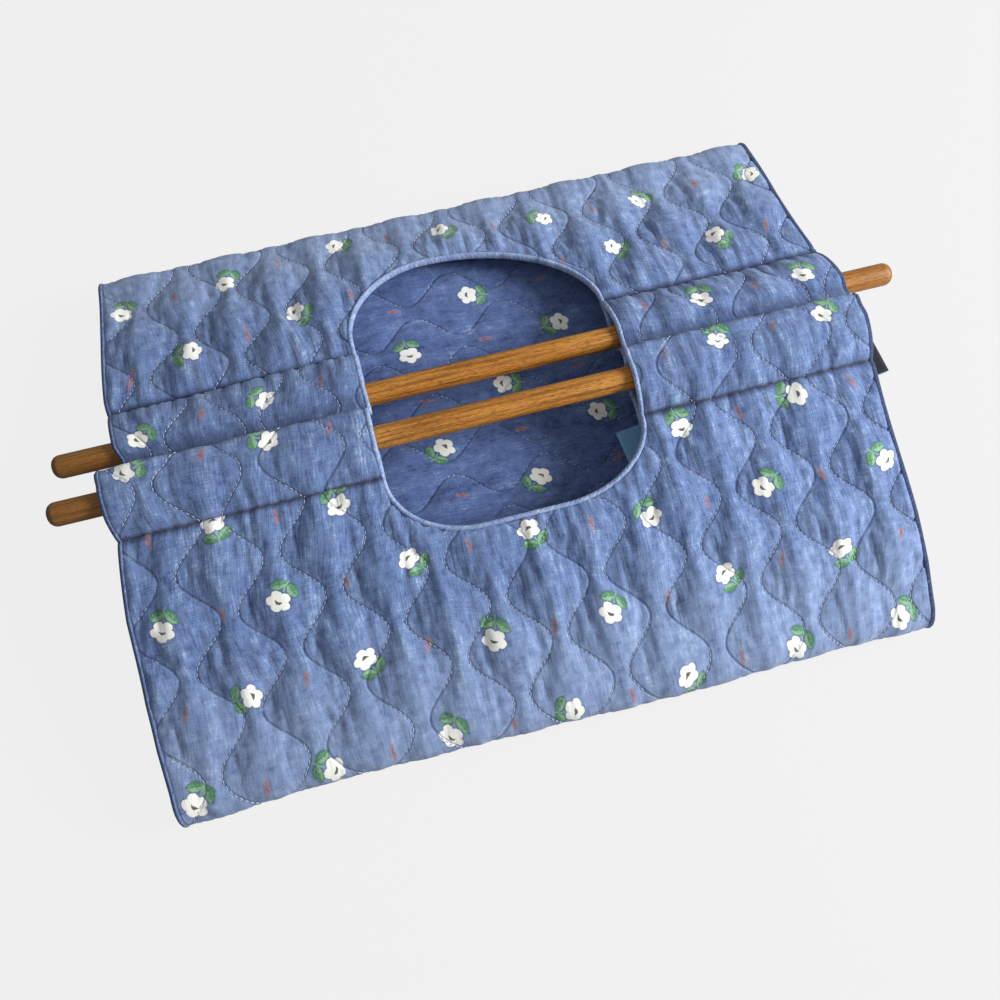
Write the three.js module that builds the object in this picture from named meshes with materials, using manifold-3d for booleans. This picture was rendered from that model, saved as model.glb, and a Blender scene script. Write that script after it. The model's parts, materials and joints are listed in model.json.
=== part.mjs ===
// Quilted casserole carrier, folded flat. Millimetres, +Z up, X along the dowels, +Y to the back.
// The origin is the middle of the underside of the base.
import * as THREE from 'three';
import { mergeVertices } from 'three/addons/utils/BufferGeometryUtils.js';
import Module from 'manifold-3d';

const wasm = await Module();
wasm.setup();

// Cloth
const quilt = 5;
const bindingWidth = 5;
const tapeThickness = 1.5;
const seatGap = 0.3;
const overrun = 0.5;

// Handle panel, which lies front to back and folds in from both ends
const panelWidth = 406;
const foldedDepth = 312;
const foldRadius = 11;
const lipsMeetY = 19.55;
const lipGap = 0.9;

// Sleeves, the turned-under ends of the handle panel
const sleeveDepth = 37.5;
const sleeveWall = 3.6;
const lipRadius = 5;

// Dowels
const dowelDiameter = 12.7;
const dowelEndRadius = 4.6;
const dowelClearance = 0.4;
const dowelDrop = 1.5;

// Wrap panel, which lies across and folds in from the left and the right
const wrapDepth = 260;
const wrapFlapLength = 290;
const wrapCornerRadius = 14;

// Closure strap, lying askew on the right wrap flap
const strapWidth = 20;
const strapLength = 163;
const strapEndX = 65;
const strapEndY = -23.5;
const strapAngle = THREE.MathUtils.degToRad(6.2);
const hookLength = 46;
const loopLength = 52;
const loopInset = 8;

// Smoothness: steps on each curve of an outline, twice as many on an arc, and the dowels' sides
const bendSteps = 7;
const cornerSteps = 6;
const lipSteps = 5;
const dowelSides = 24;
const weldDistance = 0.01;

// Each handle flap: how steeply it lies, where its dowel is, and its half of the hand opening. The
// opening drops from the stitch line of the sleeves to its floor, which is level for a length about
// its middle. A straight is the plain edge above a round corner.
const front = {
  name: 'front',
  turn: 0,
  slope: THREE.MathUtils.degToRad(13.3),
  dowelInset: 17,
  dowelLength: 432,
  dowelMiddle: -18.6,
  opening: {
    left: -65, right: 72, drop: 36, level: 43, middle: 0.5, leftStraight: 2, rightStraight: 2,
  },
};
const rear = {
  name: 'rear',
  turn: Math.PI,
  slope: THREE.MathUtils.degToRad(11.3),
  dowelInset: 14,
  dowelLength: 470,
  dowelMiddle: 1.5,
  opening: {
    left: -65, right: 74, drop: 53, level: 3, middle: -13.5, leftStraight: 9, rightStraight: 1,
  },
};

// Worked out from the driving sizes
const halfWidth = panelWidth / 2;
const clothHalfWidth = halfWidth - bindingWidth;
const dowelRadius = dowelDiameter / 2;
const hingeY = foldedDepth / 2 - foldRadius - quilt / 2;
const hingeZ = foldRadius + quilt / 2;
const clothLow = foldRadius - quilt / 2;
const clothHigh = foldRadius + quilt / 2;
const halfWrapDepth = wrapDepth / 2;
const wrapBaseZ = quilt + seatGap;
const leftFlapZ = wrapBaseZ + quilt + seatGap;
const rightFlapZ = leftFlapZ + quilt + seatGap;
const loopZ = rightFlapZ + quilt + seatGap;
const strapZ = loopZ + tapeThickness + seatGap;
const hookZ = strapZ + tapeThickness + seatGap;

// How far a flap reaches along itself, from its hinge line, so that its lip ends at its place.
const reachTo = (lipEnd, slope) => (
  lipRadius + (lipEnd - lipRadius + foldRadius * Math.sin(slope)) / Math.cos(slope)
);
front.reach = reachTo(hingeY + lipsMeetY - lipGap / 2, front.slope);
rear.reach = reachTo(hingeY - lipsMeetY - lipGap / 2, rear.slope);

const finish = (color, roughness) => new THREE.MeshStandardMaterial({ color, roughness, metalness: 0 });
const calico = finish(0x5f73a5, 0.95);
const lining = finish(0x53669a, 0.95);
const edging = finish(0x6f82b2, 0.95);
const stainedWood = finish(0x8a5a2c, 0.5);
const stainedWoodDark = finish(0x6f4420, 0.5);
const strapCloth = finish(0x5b86a8, 0.85);
const hookCloth = finish(0x1d2a3c, 0.9);

function node(name, geometry, material) {
  const mesh = new THREE.Mesh(geometry, material);
  mesh.name = name;
  return mesh;
}

// A closed outline from points, without the doubles where one curve hands over to the next.
function outline(points, holes = []) {
  const apart = (point, index) => {
    const before = points[(index + points.length - 1) % points.length];
    return point.distanceTo(before) > weldDistance;
  };
  const shape = new THREE.Shape(points.filter(apart));
  shape.holes.push(...holes.map((hole) => new THREE.Path(hole)));
  return shape;
}

// A flat outline in X and Y, raised from one height to another.
function plate(shape, low, high) {
  const geometry = new THREE.ExtrudeGeometry(shape, { depth: high - low, bevelEnabled: false });
  return geometry.translate(0, 0, low);
}

// An outline in Y and Z, run along X from one side to the other.
function bar(shape, from, to) {
  const geometry = new THREE.ExtrudeGeometry(shape, { depth: to - from, bevelEnabled: false });
  const across = new THREE.Matrix4().makeBasis(
    new THREE.Vector3(0, 1, 0), new THREE.Vector3(0, 0, 1), new THREE.Vector3(1, 0, 0),
  );
  return geometry.applyMatrix4(across).translate(from, 0, 0);
}

function rectangle(left, low, right, high) {
  return outline([
    new THREE.Vector2(left, low), new THREE.Vector2(right, low),
    new THREE.Vector2(right, high), new THREE.Vector2(left, high),
  ]);
}

function toManifold(geometry) {
  const bare = geometry.clone();
  bare.deleteAttribute('normal');
  bare.deleteAttribute('uv');
  const merged = mergeVertices(bare);
  return new wasm.Manifold(new wasm.Mesh({
    numProp: 3,
    vertProperties: new Float32Array(merged.attributes.position.array),
    triVerts: new Uint32Array(merged.index.array),
  }));
}

function fromManifold(solid) {
  const mesh = solid.getMesh();
  const geometry = new THREE.BufferGeometry();
  geometry.setAttribute('position', new THREE.BufferAttribute(mesh.vertProperties, mesh.numProp));
  geometry.setIndex(new THREE.BufferAttribute(mesh.triVerts, 1));
  geometry.computeVertexNormals();
  return geometry;
}

function join(...geometries) {
  return fromManifold(geometries.map(toManifold).reduce((whole, part) => whole.add(part)));
}

// The opening as the flap's own frame sees it: the rear flap's frame is turned half round, so its
// sides change places. A span is the width of a round corner and a rise is its length along the flap.
function openingOf(flap) {
  const { left, right, drop, level, middle, leftStraight, rightStraight } = flap.opening;
  const floor = flap.reach - sleeveDepth - drop;
  const leftSpan = middle - level / 2 - left;
  const rightSpan = right - middle - level / 2;
  const leftRise = drop - leftStraight;
  const rightRise = drop - rightStraight;
  return flap.turn ? {
    left: -right,
    right: -left,
    floor,
    leftSpan: rightSpan,
    leftRise: rightRise,
    rightSpan: leftSpan,
    rightRise: leftRise,
  } : { left, right, floor, leftSpan, leftRise, rightSpan, rightRise };
}

// The edge of the opening, grown outwards by a margin, from its left top round its floor to its
// right top.
function openingEdge(opening, margin, top) {
  const left = opening.left - margin;
  const right = opening.right + margin;
  const floor = opening.floor - margin;
  const edge = new THREE.Path();
  edge.moveTo(left, top);
  edge.lineTo(left, opening.floor + opening.leftRise);
  const corner = (centreX, span, rise, start, end) => {
    edge.absellipse(centreX, floor + rise, span, rise, start, end, false);
  };
  const leftSpan = opening.leftSpan + margin;
  const rightSpan = opening.rightSpan + margin;
  corner(left + leftSpan, leftSpan, opening.leftRise + margin, Math.PI, 1.5 * Math.PI);
  corner(right - rightSpan, rightSpan, opening.rightRise + margin, 1.5 * Math.PI, 2 * Math.PI);
  edge.lineTo(right, top);
  return edge.getPoints(cornerSteps);
}

// The section of a sleeve: it starts as thick as the quilt at its stitch line, swells round the dowel
// and ends in a round lip. The dowel's hole is open, so the dowel slides through.
function sleeveSection(flap, start) {
  const dowelAt = flap.reach - flap.dowelInset;
  const dowelHeight = foldRadius - dowelDrop;
  const swell = dowelRadius + dowelClearance + sleeveWall;
  const lipAt = flap.reach - lipRadius;
  const shoulder = (dowelAt - flap.reach + sleeveDepth) / 2;
  const lipReach = (lipAt - dowelAt) / 2;
  const shape = new THREE.Path();
  shape.moveTo(start, clothLow);
  shape.bezierCurveTo(
    start + shoulder, clothLow, dowelAt - shoulder, dowelHeight - swell, dowelAt, dowelHeight - swell,
  );
  shape.bezierCurveTo(
    dowelAt + lipReach, dowelHeight - swell, lipAt - lipReach, foldRadius - lipRadius,
    lipAt, foldRadius - lipRadius,
  );
  shape.absarc(lipAt, foldRadius, lipRadius, -Math.PI / 2, Math.PI / 2, false);
  shape.bezierCurveTo(
    lipAt - lipReach, foldRadius + lipRadius, dowelAt + lipReach, dowelHeight + swell,
    dowelAt, dowelHeight + swell,
  );
  shape.bezierCurveTo(
    dowelAt - shoulder, dowelHeight + swell, start + shoulder, clothHigh, start, clothHigh,
  );
  const holeRadius = (dowelRadius + dowelClearance) / Math.cos(Math.PI / dowelSides);
  const hole = Array.from({ length: dowelSides }, (_, side) => {
    const angle = (2 * Math.PI * side) / dowelSides;
    return new THREE.Vector2(
      dowelAt + holeRadius * Math.cos(angle), dowelHeight + holeRadius * Math.sin(angle),
    );
  });
  return outline(shape.getPoints(lipSteps), [hole]);
}

function dowelGeometry(length) {
  const half = length / 2;
  const flat = dowelRadius - dowelEndRadius;
  const profile = new THREE.Path();
  profile.moveTo(0, -half);
  profile.lineTo(flat, -half);
  profile.absarc(flat, dowelEndRadius - half, dowelEndRadius, -Math.PI / 2, 0, false);
  profile.absarc(flat, half - dowelEndRadius, dowelEndRadius, 0, Math.PI / 2, false);
  profile.lineTo(0, half);
  const points = outline(profile.getPoints(lipSteps)).getPoints();
  return new THREE.LatheGeometry(points, dowelSides).rotateZ(-Math.PI / 2);
}

// One handle flap in its own frame: X across, Y along the flap from its hinge line, Z square to it.
function makeFlap(flap, material) {
  const group = new THREE.Group();
  const opening = openingOf(flap);
  const stitchLine = flap.reach - sleeveDepth;
  const sleeveStart = stitchLine + seatGap;
  const sides = flap.turn ? ['right', 'left'] : ['left', 'right'];
  const panelHalfWidth = clothHalfWidth - seatGap;
  const mouth = bindingWidth + seatGap;

  const panel = outline([
    new THREE.Vector2(-panelHalfWidth, stitchLine),
    new THREE.Vector2(-panelHalfWidth, seatGap),
    new THREE.Vector2(panelHalfWidth, seatGap),
    new THREE.Vector2(panelHalfWidth, stitchLine),
    ...openingEdge(opening, mouth, stitchLine).reverse(),
  ]);
  group.add(node(`${flap.name}_flap_panel`, plate(panel, clothLow, clothHigh), material));

  const section = sleeveSection(flap, sleeveStart);
  group.add(
    node(`${flap.name}_sleeve_${sides[0]}`,
      bar(section, -panelHalfWidth, opening.left - mouth), material),
    node(`${flap.name}_sleeve_${sides[1]}`,
      bar(section, opening.right + mouth, panelHalfWidth), material),
  );

  // The edging is one strip: straight along the flap, then round the mouth of the sleeve.
  const strip = (low, high) => bar(
    rectangle(seatGap, clothLow, sleeveStart + overrun, clothHigh), low, high,
  );
  const mouthRing = (low, high) => bar(section, low, high);
  const sideBinding = (low, high) => join(strip(low, high), mouthRing(low, high));
  group.add(
    node(`${flap.name}_binding_${sides[0]}`, sideBinding(-halfWidth, -clothHalfWidth), edging),
    node(`${flap.name}_binding_${sides[1]}`, sideBinding(clothHalfWidth, halfWidth), edging),
  );

  const bandTop = sleeveStart + overrun;
  const band = outline([
    ...openingEdge(opening, bindingWidth, bandTop),
    ...openingEdge(opening, 0, bandTop).reverse(),
  ]);
  group.add(node(`${flap.name}_cutout_binding`, join(
    plate(band, clothLow, clothHigh),
    mouthRing(opening.left - bindingWidth, opening.left),
    mouthRing(opening.right, opening.right + bindingWidth),
  ), edging));

  const dowel = node(
    `${flap.name}_dowel`, dowelGeometry(flap.dowelLength), flap.turn ? stainedWood : stainedWoodDark,
  );
  const middle = flap.turn ? -flap.dowelMiddle : flap.dowelMiddle;
  dowel.position.set(middle, flap.reach - flap.dowelInset, foldRadius - dowelDrop);
  group.add(dowel);

  group.position.set(0, flap.turn ? hingeY : -hingeY, hingeZ);
  group.rotation.set(flap.slope, 0, flap.turn, 'ZYX');
  return group;
}

// A bend of cloth round a hinge line: an open ring in Y and Z, from straight down, out, and up to
// where the flap leaves it.
function bendSection(radius, sweep) {
  const start = -Math.PI / 2;
  const path = new THREE.Path();
  path.absarc(0, 0, radius + quilt / 2, start, start - sweep, true);
  path.absarc(0, 0, radius - quilt / 2, start - sweep, start, false);
  return outline(path.getPoints(bendSteps));
}

function makeBend(flap) {
  const section = bendSection(foldRadius, Math.PI - flap.slope);
  const bend = node(`${flap.name}_fold`, bar(section, -halfWidth, halfWidth), calico);
  bend.position.set(0, flap.turn ? hingeY : -hingeY, hingeZ);
  bend.rotation.z = flap.turn;
  return bend;
}

function makeBase() {
  const group = new THREE.Group();
  const panelHalfWidth = clothHalfWidth - seatGap;
  const end = hingeY - seatGap;
  group.add(
    node('base_panel', plate(rectangle(-panelHalfWidth, -end, panelHalfWidth, end), 0, quilt), lining),
    node('base_binding_left', plate(rectangle(-halfWidth, -end, -clothHalfWidth, end), 0, quilt), edging),
    node('base_binding_right', plate(rectangle(clothHalfWidth, -end, halfWidth, end), 0, quilt), edging),
    makeBend(front),
    makeBend(rear),
  );
  return group;
}

// The end of a wrap flap, with both corners rounded, from the fold at X = 0 to its end.
function wrapOutline(length, halfDepth, radius) {
  const path = new THREE.Path();
  path.moveTo(0, -halfDepth);
  path.lineTo(length - radius, -halfDepth);
  path.absarc(length - radius, radius - halfDepth, radius, -Math.PI / 2, 0, false);
  path.absarc(length - radius, halfDepth - radius, radius, 0, Math.PI / 2, false);
  path.lineTo(0, halfDepth);
  return path.getPoints(cornerSteps);
}

// One wrap flap in its own frame: X runs from its fold over the base.
function makeWrapFlap(side, turn, height) {
  const group = new THREE.Group();
  const inner = halfWrapDepth - bindingWidth;
  const innerRadius = wrapCornerRadius - bindingWidth;
  const panelLength = wrapFlapLength - bindingWidth;
  const panel = outline(wrapOutline(panelLength - seatGap, inner - seatGap, innerRadius - seatGap));
  const band = outline([
    ...wrapOutline(wrapFlapLength, halfWrapDepth, wrapCornerRadius),
    ...wrapOutline(panelLength, inner, innerRadius).reverse(),
  ]);
  const clear = (geometry) => geometry.translate(seatGap, 0, 0);
  group.add(
    node(`${side}_wrap_flap`, clear(plate(panel, height, height + quilt)), calico),
    node(`${side}_wrap_binding`, clear(plate(band, height, height + quilt)), edging),
  );

  const middleLow = wrapBaseZ + quilt / 2;
  const radius = (height - wrapBaseZ) / 2;
  const section = bendSection(radius, Math.PI);
  const bend = node(`${side}_wrap_fold`, bar(section, -halfWrapDepth, halfWrapDepth), calico);
  bend.position.z = middleLow + radius;
  bend.rotation.z = -Math.PI / 2;
  group.add(bend);

  group.position.x = turn ? halfWidth : -halfWidth;
  group.rotation.z = turn;
  return group;
}

function makeWrap() {
  const group = new THREE.Group();
  const end = halfWidth - seatGap;
  const inner = halfWrapDepth - bindingWidth;
  const layer = (low, high) => plate(rectangle(-end, low, end, high), wrapBaseZ, wrapBaseZ + quilt);
  group.add(
    node('wrap_base_panel', layer(seatGap - inner, inner - seatGap), calico),
    node('wrap_base_binding_front', layer(-halfWrapDepth, -inner), edging),
    node('wrap_base_binding_rear', layer(inner, halfWrapDepth), edging),
    makeWrapFlap('left', 0, leftFlapZ),
    makeWrapFlap('right', Math.PI, rightFlapZ),
  );
  return group;
}

// The closure: a cloth strap with hook tape on its outer end, and the loop tape under its inner end.
function makeClosure() {
  const group = new THREE.Group();
  const half = strapWidth / 2;
  const tape = (from, to, height) => plate(rectangle(from, -half, to, half), height, height + tapeThickness);
  group.add(
    node('closure_strap', tape(0, strapLength, strapZ), strapCloth),
    node('closure_hook_tape', tape(strapLength - hookLength, strapLength, hookZ), hookCloth),
    node('closure_loop_tape', tape(loopInset, loopInset + loopLength, loopZ), strapCloth),
  );
  group.position.set(strapEndX, strapEndY, 0);
  group.rotation.z = strapAngle;
  return group;
}

const carrier = new THREE.Group();
carrier.add(makeBase(), makeWrap(), makeClosure(), makeFlap(front, calico), makeFlap(rear, calico));

export default carrier;
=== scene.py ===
"""The looks of a folded, quilted casserole carrier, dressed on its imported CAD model.

Each cloth is cut flat, quilted flat, and then laid along the line that the folded cloth follows.
Flat sizes are in millimetres: X across the cloth, Y along it, and Z above its middle, towards the
side that the print is on.
"""

import json
import logging
import math
from collections.abc import Callable
from dataclasses import dataclass, field
from enum import Enum

import bmesh
import bpy
import numpy as np
from mathutils import Matrix, Vector


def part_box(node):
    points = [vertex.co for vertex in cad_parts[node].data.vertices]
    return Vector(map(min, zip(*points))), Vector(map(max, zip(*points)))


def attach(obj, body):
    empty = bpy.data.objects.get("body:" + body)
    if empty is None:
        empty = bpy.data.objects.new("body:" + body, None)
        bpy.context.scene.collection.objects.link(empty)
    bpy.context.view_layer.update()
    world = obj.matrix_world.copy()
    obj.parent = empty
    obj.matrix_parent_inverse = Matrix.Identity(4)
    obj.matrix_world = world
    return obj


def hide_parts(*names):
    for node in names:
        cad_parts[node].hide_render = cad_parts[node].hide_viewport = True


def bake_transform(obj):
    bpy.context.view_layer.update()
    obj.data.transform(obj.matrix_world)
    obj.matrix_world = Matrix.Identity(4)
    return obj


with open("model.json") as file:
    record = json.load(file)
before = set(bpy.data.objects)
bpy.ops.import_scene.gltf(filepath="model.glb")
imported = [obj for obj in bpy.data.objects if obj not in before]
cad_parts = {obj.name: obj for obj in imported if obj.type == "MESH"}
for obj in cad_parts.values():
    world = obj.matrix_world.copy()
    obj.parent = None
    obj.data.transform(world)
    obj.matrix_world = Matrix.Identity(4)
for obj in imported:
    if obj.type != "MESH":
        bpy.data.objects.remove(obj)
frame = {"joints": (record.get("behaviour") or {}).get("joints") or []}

LOG = logging.getLogger("carrier")
MM = 0.001


def linear(red: int, green: int, blue: int) -> tuple[float, float, float, float]:
    """Turns a screen colour into the linear colour that a shader takes.

    Args:
        red: Red, from 0 to 255.
        green: Green, from 0 to 255.
        blue: Blue, from 0 to 255.

    Returns:
        The linear colour with full opacity.
    """
    parts = [value / 255 for value in (red, green, blue)]
    bent = [p / 12.92 if p <= 0.04045 else ((p + 0.055) / 1.055) ** 2.4 for p in parts]
    return (*bent, 1.0)


def ease(value: np.ndarray, low: float, high: float) -> np.ndarray:
    """Rises smoothly from 0 at the low value to 1 at the high one.

    Args:
        value: The values to ease.
        low: Where the rise starts.
        high: Where the rise ends.

    Returns:
        The eased values, from 0 to 1.
    """
    share = np.clip((value - low) / (high - low), 0, 1)
    return share * share * (3 - 2 * share)


# Shader building


class Wire:
    """A number that flows through a shader, for use in Python expressions."""

    def __init__(self, shader: "Shader", socket: bpy.types.NodeSocket) -> None:
        """Keeps the shader and the socket that the number comes from."""
        self.shader = shader
        self.socket = socket

    def math(self, operation: str, *others: "Wire | float") -> "Wire":
        """Adds one Math node behind this number.

        Args:
            operation: The Math node's operation.
            others: The node's second and third values.

        Returns:
            The node's result.
        """
        inputs = dict(enumerate((self, *others)))
        node = self.shader.add("ShaderNodeMath", {"operation": operation}, inputs)
        return Wire(self.shader, node.outputs[0])

    def __add__(self, other: "Wire | float") -> "Wire":
        """Adds."""
        return self.math("ADD", other)

    def __radd__(self, other: float) -> "Wire":
        """Adds, with the number first."""
        return self.math("ADD", other)

    def __sub__(self, other: "Wire | float") -> "Wire":
        """Subtracts."""
        return self.math("SUBTRACT", other)

    def __rsub__(self, other: float) -> "Wire":
        """Subtracts from a number."""
        return (self * -1.0).math("ADD", other)

    def __mul__(self, other: "Wire | float") -> "Wire":
        """Multiplies."""
        return self.math("MULTIPLY", other)

    def __rmul__(self, other: float) -> "Wire":
        """Multiplies, with the number first."""
        return self.math("MULTIPLY", other)

    def __truediv__(self, other: "Wire | float") -> "Wire":
        """Divides."""
        return self.math("DIVIDE", other)

    def __abs__(self) -> "Wire":
        """Drops the sign."""
        return self.math("ABSOLUTE")

    def step(self, low: float, high: float) -> "Wire":
        """Goes smoothly from 0 to 1 between two values, which may also run downwards.

        Args:
            low: The value that gives 0.
            high: The value that gives 1.

        Returns:
            The mask.
        """
        node = self.shader.add(
            "ShaderNodeMapRange",
            {"interpolation_type": "SMOOTHSTEP"},
            {"Value": self, "From Min": low, "From Max": high},
        )
        return Wire(self.shader, node.outputs[0])


class Shader:
    """One material's node tree, with its Principled BSDF."""

    def __init__(self, name: str, **constants: float) -> None:
        """Makes the material.

        Args:
            name: The material's name.
            constants: Values of the BSDF's sockets, with _ for a space.
        """
        self.material = bpy.data.materials.new(name)
        self.material.use_nodes = True
        self.tree = self.material.node_tree
        self.bsdf = self.tree.nodes["Principled BSDF"]
        for key, value in constants.items():
            self.bsdf.inputs[key.replace("_", " ")].default_value = value

    def add(self, kind: str, settings: dict | None = None, inputs: dict | None = None) -> bpy.types.Node:
        """Adds one node.

        Args:
            kind: The node's type.
            settings: The node's own properties, set first.
            inputs: Values or links of its sockets, by name or number.

        Returns:
            The node.
        """
        node = self.tree.nodes.new(kind)
        for key, value in (settings or {}).items():
            setattr(node, key, value)
        for key, value in (inputs or {}).items():
            if isinstance(value, Wire):
                self.tree.links.new(value.socket, node.inputs[key])
            else:
                node.inputs[key].default_value = value
        return node

    def feed(self, name: str, value: Wire) -> None:
        """Links a value to one socket of the BSDF."""
        self.tree.links.new(value.socket, self.bsdf.inputs[name])

    def split(self, source: Wire) -> tuple[Wire, Wire, Wire]:
        """Takes a vector apart into its three numbers."""
        node = self.add("ShaderNodeSeparateXYZ", None, {0: source})
        return tuple(Wire(self, out) for out in node.outputs)

    def vector(self, x: Wire | float, y: Wire | float, z: Wire | float = 0.0) -> Wire:
        """Puts three numbers together as a vector."""
        return Wire(self, self.add("ShaderNodeCombineXYZ", None, {0: x, 1: y, 2: z}).outputs[0])

    def chart(self, name: str) -> tuple[Wire, Wire]:
        """Reads a UV map.

        Args:
            name: The map's name.

        Returns:
            Its two numbers, in millimetres of cloth.
        """
        node = self.add("ShaderNodeUVMap", {"uv_map": name})
        across, along, _ = self.split(Wire(self, node.outputs[0]))
        return across, along

    def place(self) -> Wire:
        """Reads the place on the object, in metres."""
        return Wire(self, self.add("ShaderNodeTexCoord").outputs["Object"])

    def noise(self, where: Wire, scale: float = 1.0, detail: float = 2.0, rough: float = 0.5) -> Wire:
        """Adds a noise texture.

        Args:
            where: The vector that it reads.
            scale: How fine it is.
            detail: How many finer layers it has.
            rough: How strong those layers are.

        Returns:
            The noise, from 0 to 1.
        """
        inputs = {"Vector": where, "Scale": scale, "Detail": detail, "Roughness": rough}
        return Wire(self, self.add("ShaderNodeTexNoise", None, inputs).outputs[0])

    def blend(self, share: Wire | float, first: "Wire | tuple", second: "Wire | tuple") -> Wire:
        """Mixes two colours.

        Args:
            share: How much of the second colour shows.
            first: The colour at 0.
            second: The colour at 1.

        Returns:
            The mixed colour.
        """
        node = self.add("ShaderNodeMix", {"data_type": "RGBA"}, {0: share, 6: first, 7: second})
        return Wire(self, node.outputs[2])

    def pick(self, share: Wire, first: Wire, second: Wire) -> Wire:
        """Takes the first number at 0 and the second at 1."""
        node = self.add("ShaderNodeMix", {"data_type": "FLOAT"}, {0: share, 2: first, 3: second})
        return Wire(self, node.outputs[0])

    def bump(self, height: Wire, strength: float = 1.0) -> None:
        """Raises the surface by a height in millimetres."""
        inputs = {"Height": height, "Distance": MM, "Strength": strength}
        self.feed("Normal", Wire(self, self.add("ShaderNodeBump", None, inputs).outputs[0]))


# Pattern of the quilting and of the print


@dataclass(frozen=True)
class Quilting:
    """The stitched lines of the quilt: waves side by side, each the mirror of the next."""

    pitch: float = 26.15
    swing: float = 8.6
    period: float = 50.0
    stitch: float = 2.3
    stitch_gap: float = 0.5

    def line(self, index: int, along: np.ndarray) -> np.ndarray:
        """Gives how far across a stitched line lies.

        Args:
            index: The line's number.
            along: Where along the cloth, in quilting measure.

        Returns:
            The line's place across.
        """
        side = -1 if index % 2 == 0 else 1
        return self.pitch * index + side * self.swing * np.cos(2 * np.pi * along / self.period)

    def gap(self, across: np.ndarray, along: np.ndarray) -> np.ndarray:
        """Gives how far places on the cloth are from the nearest stitched line.

        Args:
            across: Places across, in quilting measure.
            along: Places along, in quilting measure.

        Returns:
            The distances.
        """
        turn = 2 * np.pi * along / self.period
        wave = self.swing * np.cos(turn)
        nearest = [
            np.abs((value + self.pitch) % (2 * self.pitch) - self.pitch)
            for value in (across + wave, across - wave - self.pitch)
        ]
        lean = 2 * np.pi * self.swing / self.period * np.sin(turn)
        return np.minimum(*nearest) / np.sqrt(1 + lean * lean)

    def gap_wire(self, across: Wire, along: Wire) -> Wire:
        """Gives the same distance in a shader.

        Args:
            across: Place across, in quilting measure.
            along: Place along, in quilting measure.

        Returns:
            The distance.
        """
        turn = along * (2 * math.pi / self.period)
        wave = turn.math("COSINE") * self.swing
        even = (across + wave).math("PINGPONG", self.pitch)
        odd = (across - wave - self.pitch).math("PINGPONG", self.pitch)
        lean = turn.math("SINE") * (2 * math.pi * self.swing / self.period)
        return even.math("MINIMUM", odd) / (lean * lean + 1.0).math("SQRT")


@dataclass(frozen=True)
class Ripple:
    """Small creases that run along the cloth, from a sum of waves with a fixed seed."""

    seed: int
    width: tuple[float, float] = (6.0, 15.0)
    length: tuple[float, float] = (35.0, 140.0)
    waves: int = 26

    def height(self, across: np.ndarray, along: np.ndarray) -> np.ndarray:
        """Gives the creases' height.

        Args:
            across: Places across.
            along: Places along.

        Returns:
            The height, of about 1 at the most, up or down.
        """
        random = np.random.default_rng(self.seed)
        total = np.zeros_like(across)
        for _ in range(self.waves):
            wide = 2 * np.pi / random.uniform(*self.width)
            long = 2 * np.pi / random.uniform(*self.length) * random.choice((-1, 1))
            total += np.cos(across * wide + along * long + random.uniform(0, 2 * np.pi))
        return total / math.sqrt(self.waves) * 0.7


# Where the leaves of each flower are seen to point, in degrees, by row and from left to right
LEAF_TURNS = {
    -4: (30, 159, 20, 200, 20, 95, 60),
    -3: (-60, 122, 40, 250, 115, 180),
    -2: (84, 70, -35, -55, 132, 45, 150),
    -1: (195, -50, 85, 72, -40, -50),
    0: (65, 163, 75, 185, -45, 60, 50),
    8: (80, 75, 0, -20, 165, 55, 168),
    9: (191, -38, 60, 140, -20, -40),
    10: (45, 165, 30, 200, 20, 92, 80),
    19: (20, 200, 228, 105, 50, 150),
    20: (60, 160, 230, 0, 0, 90, 200),
    21: (120, 40, 10, 200, 40, 120),
}


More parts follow.
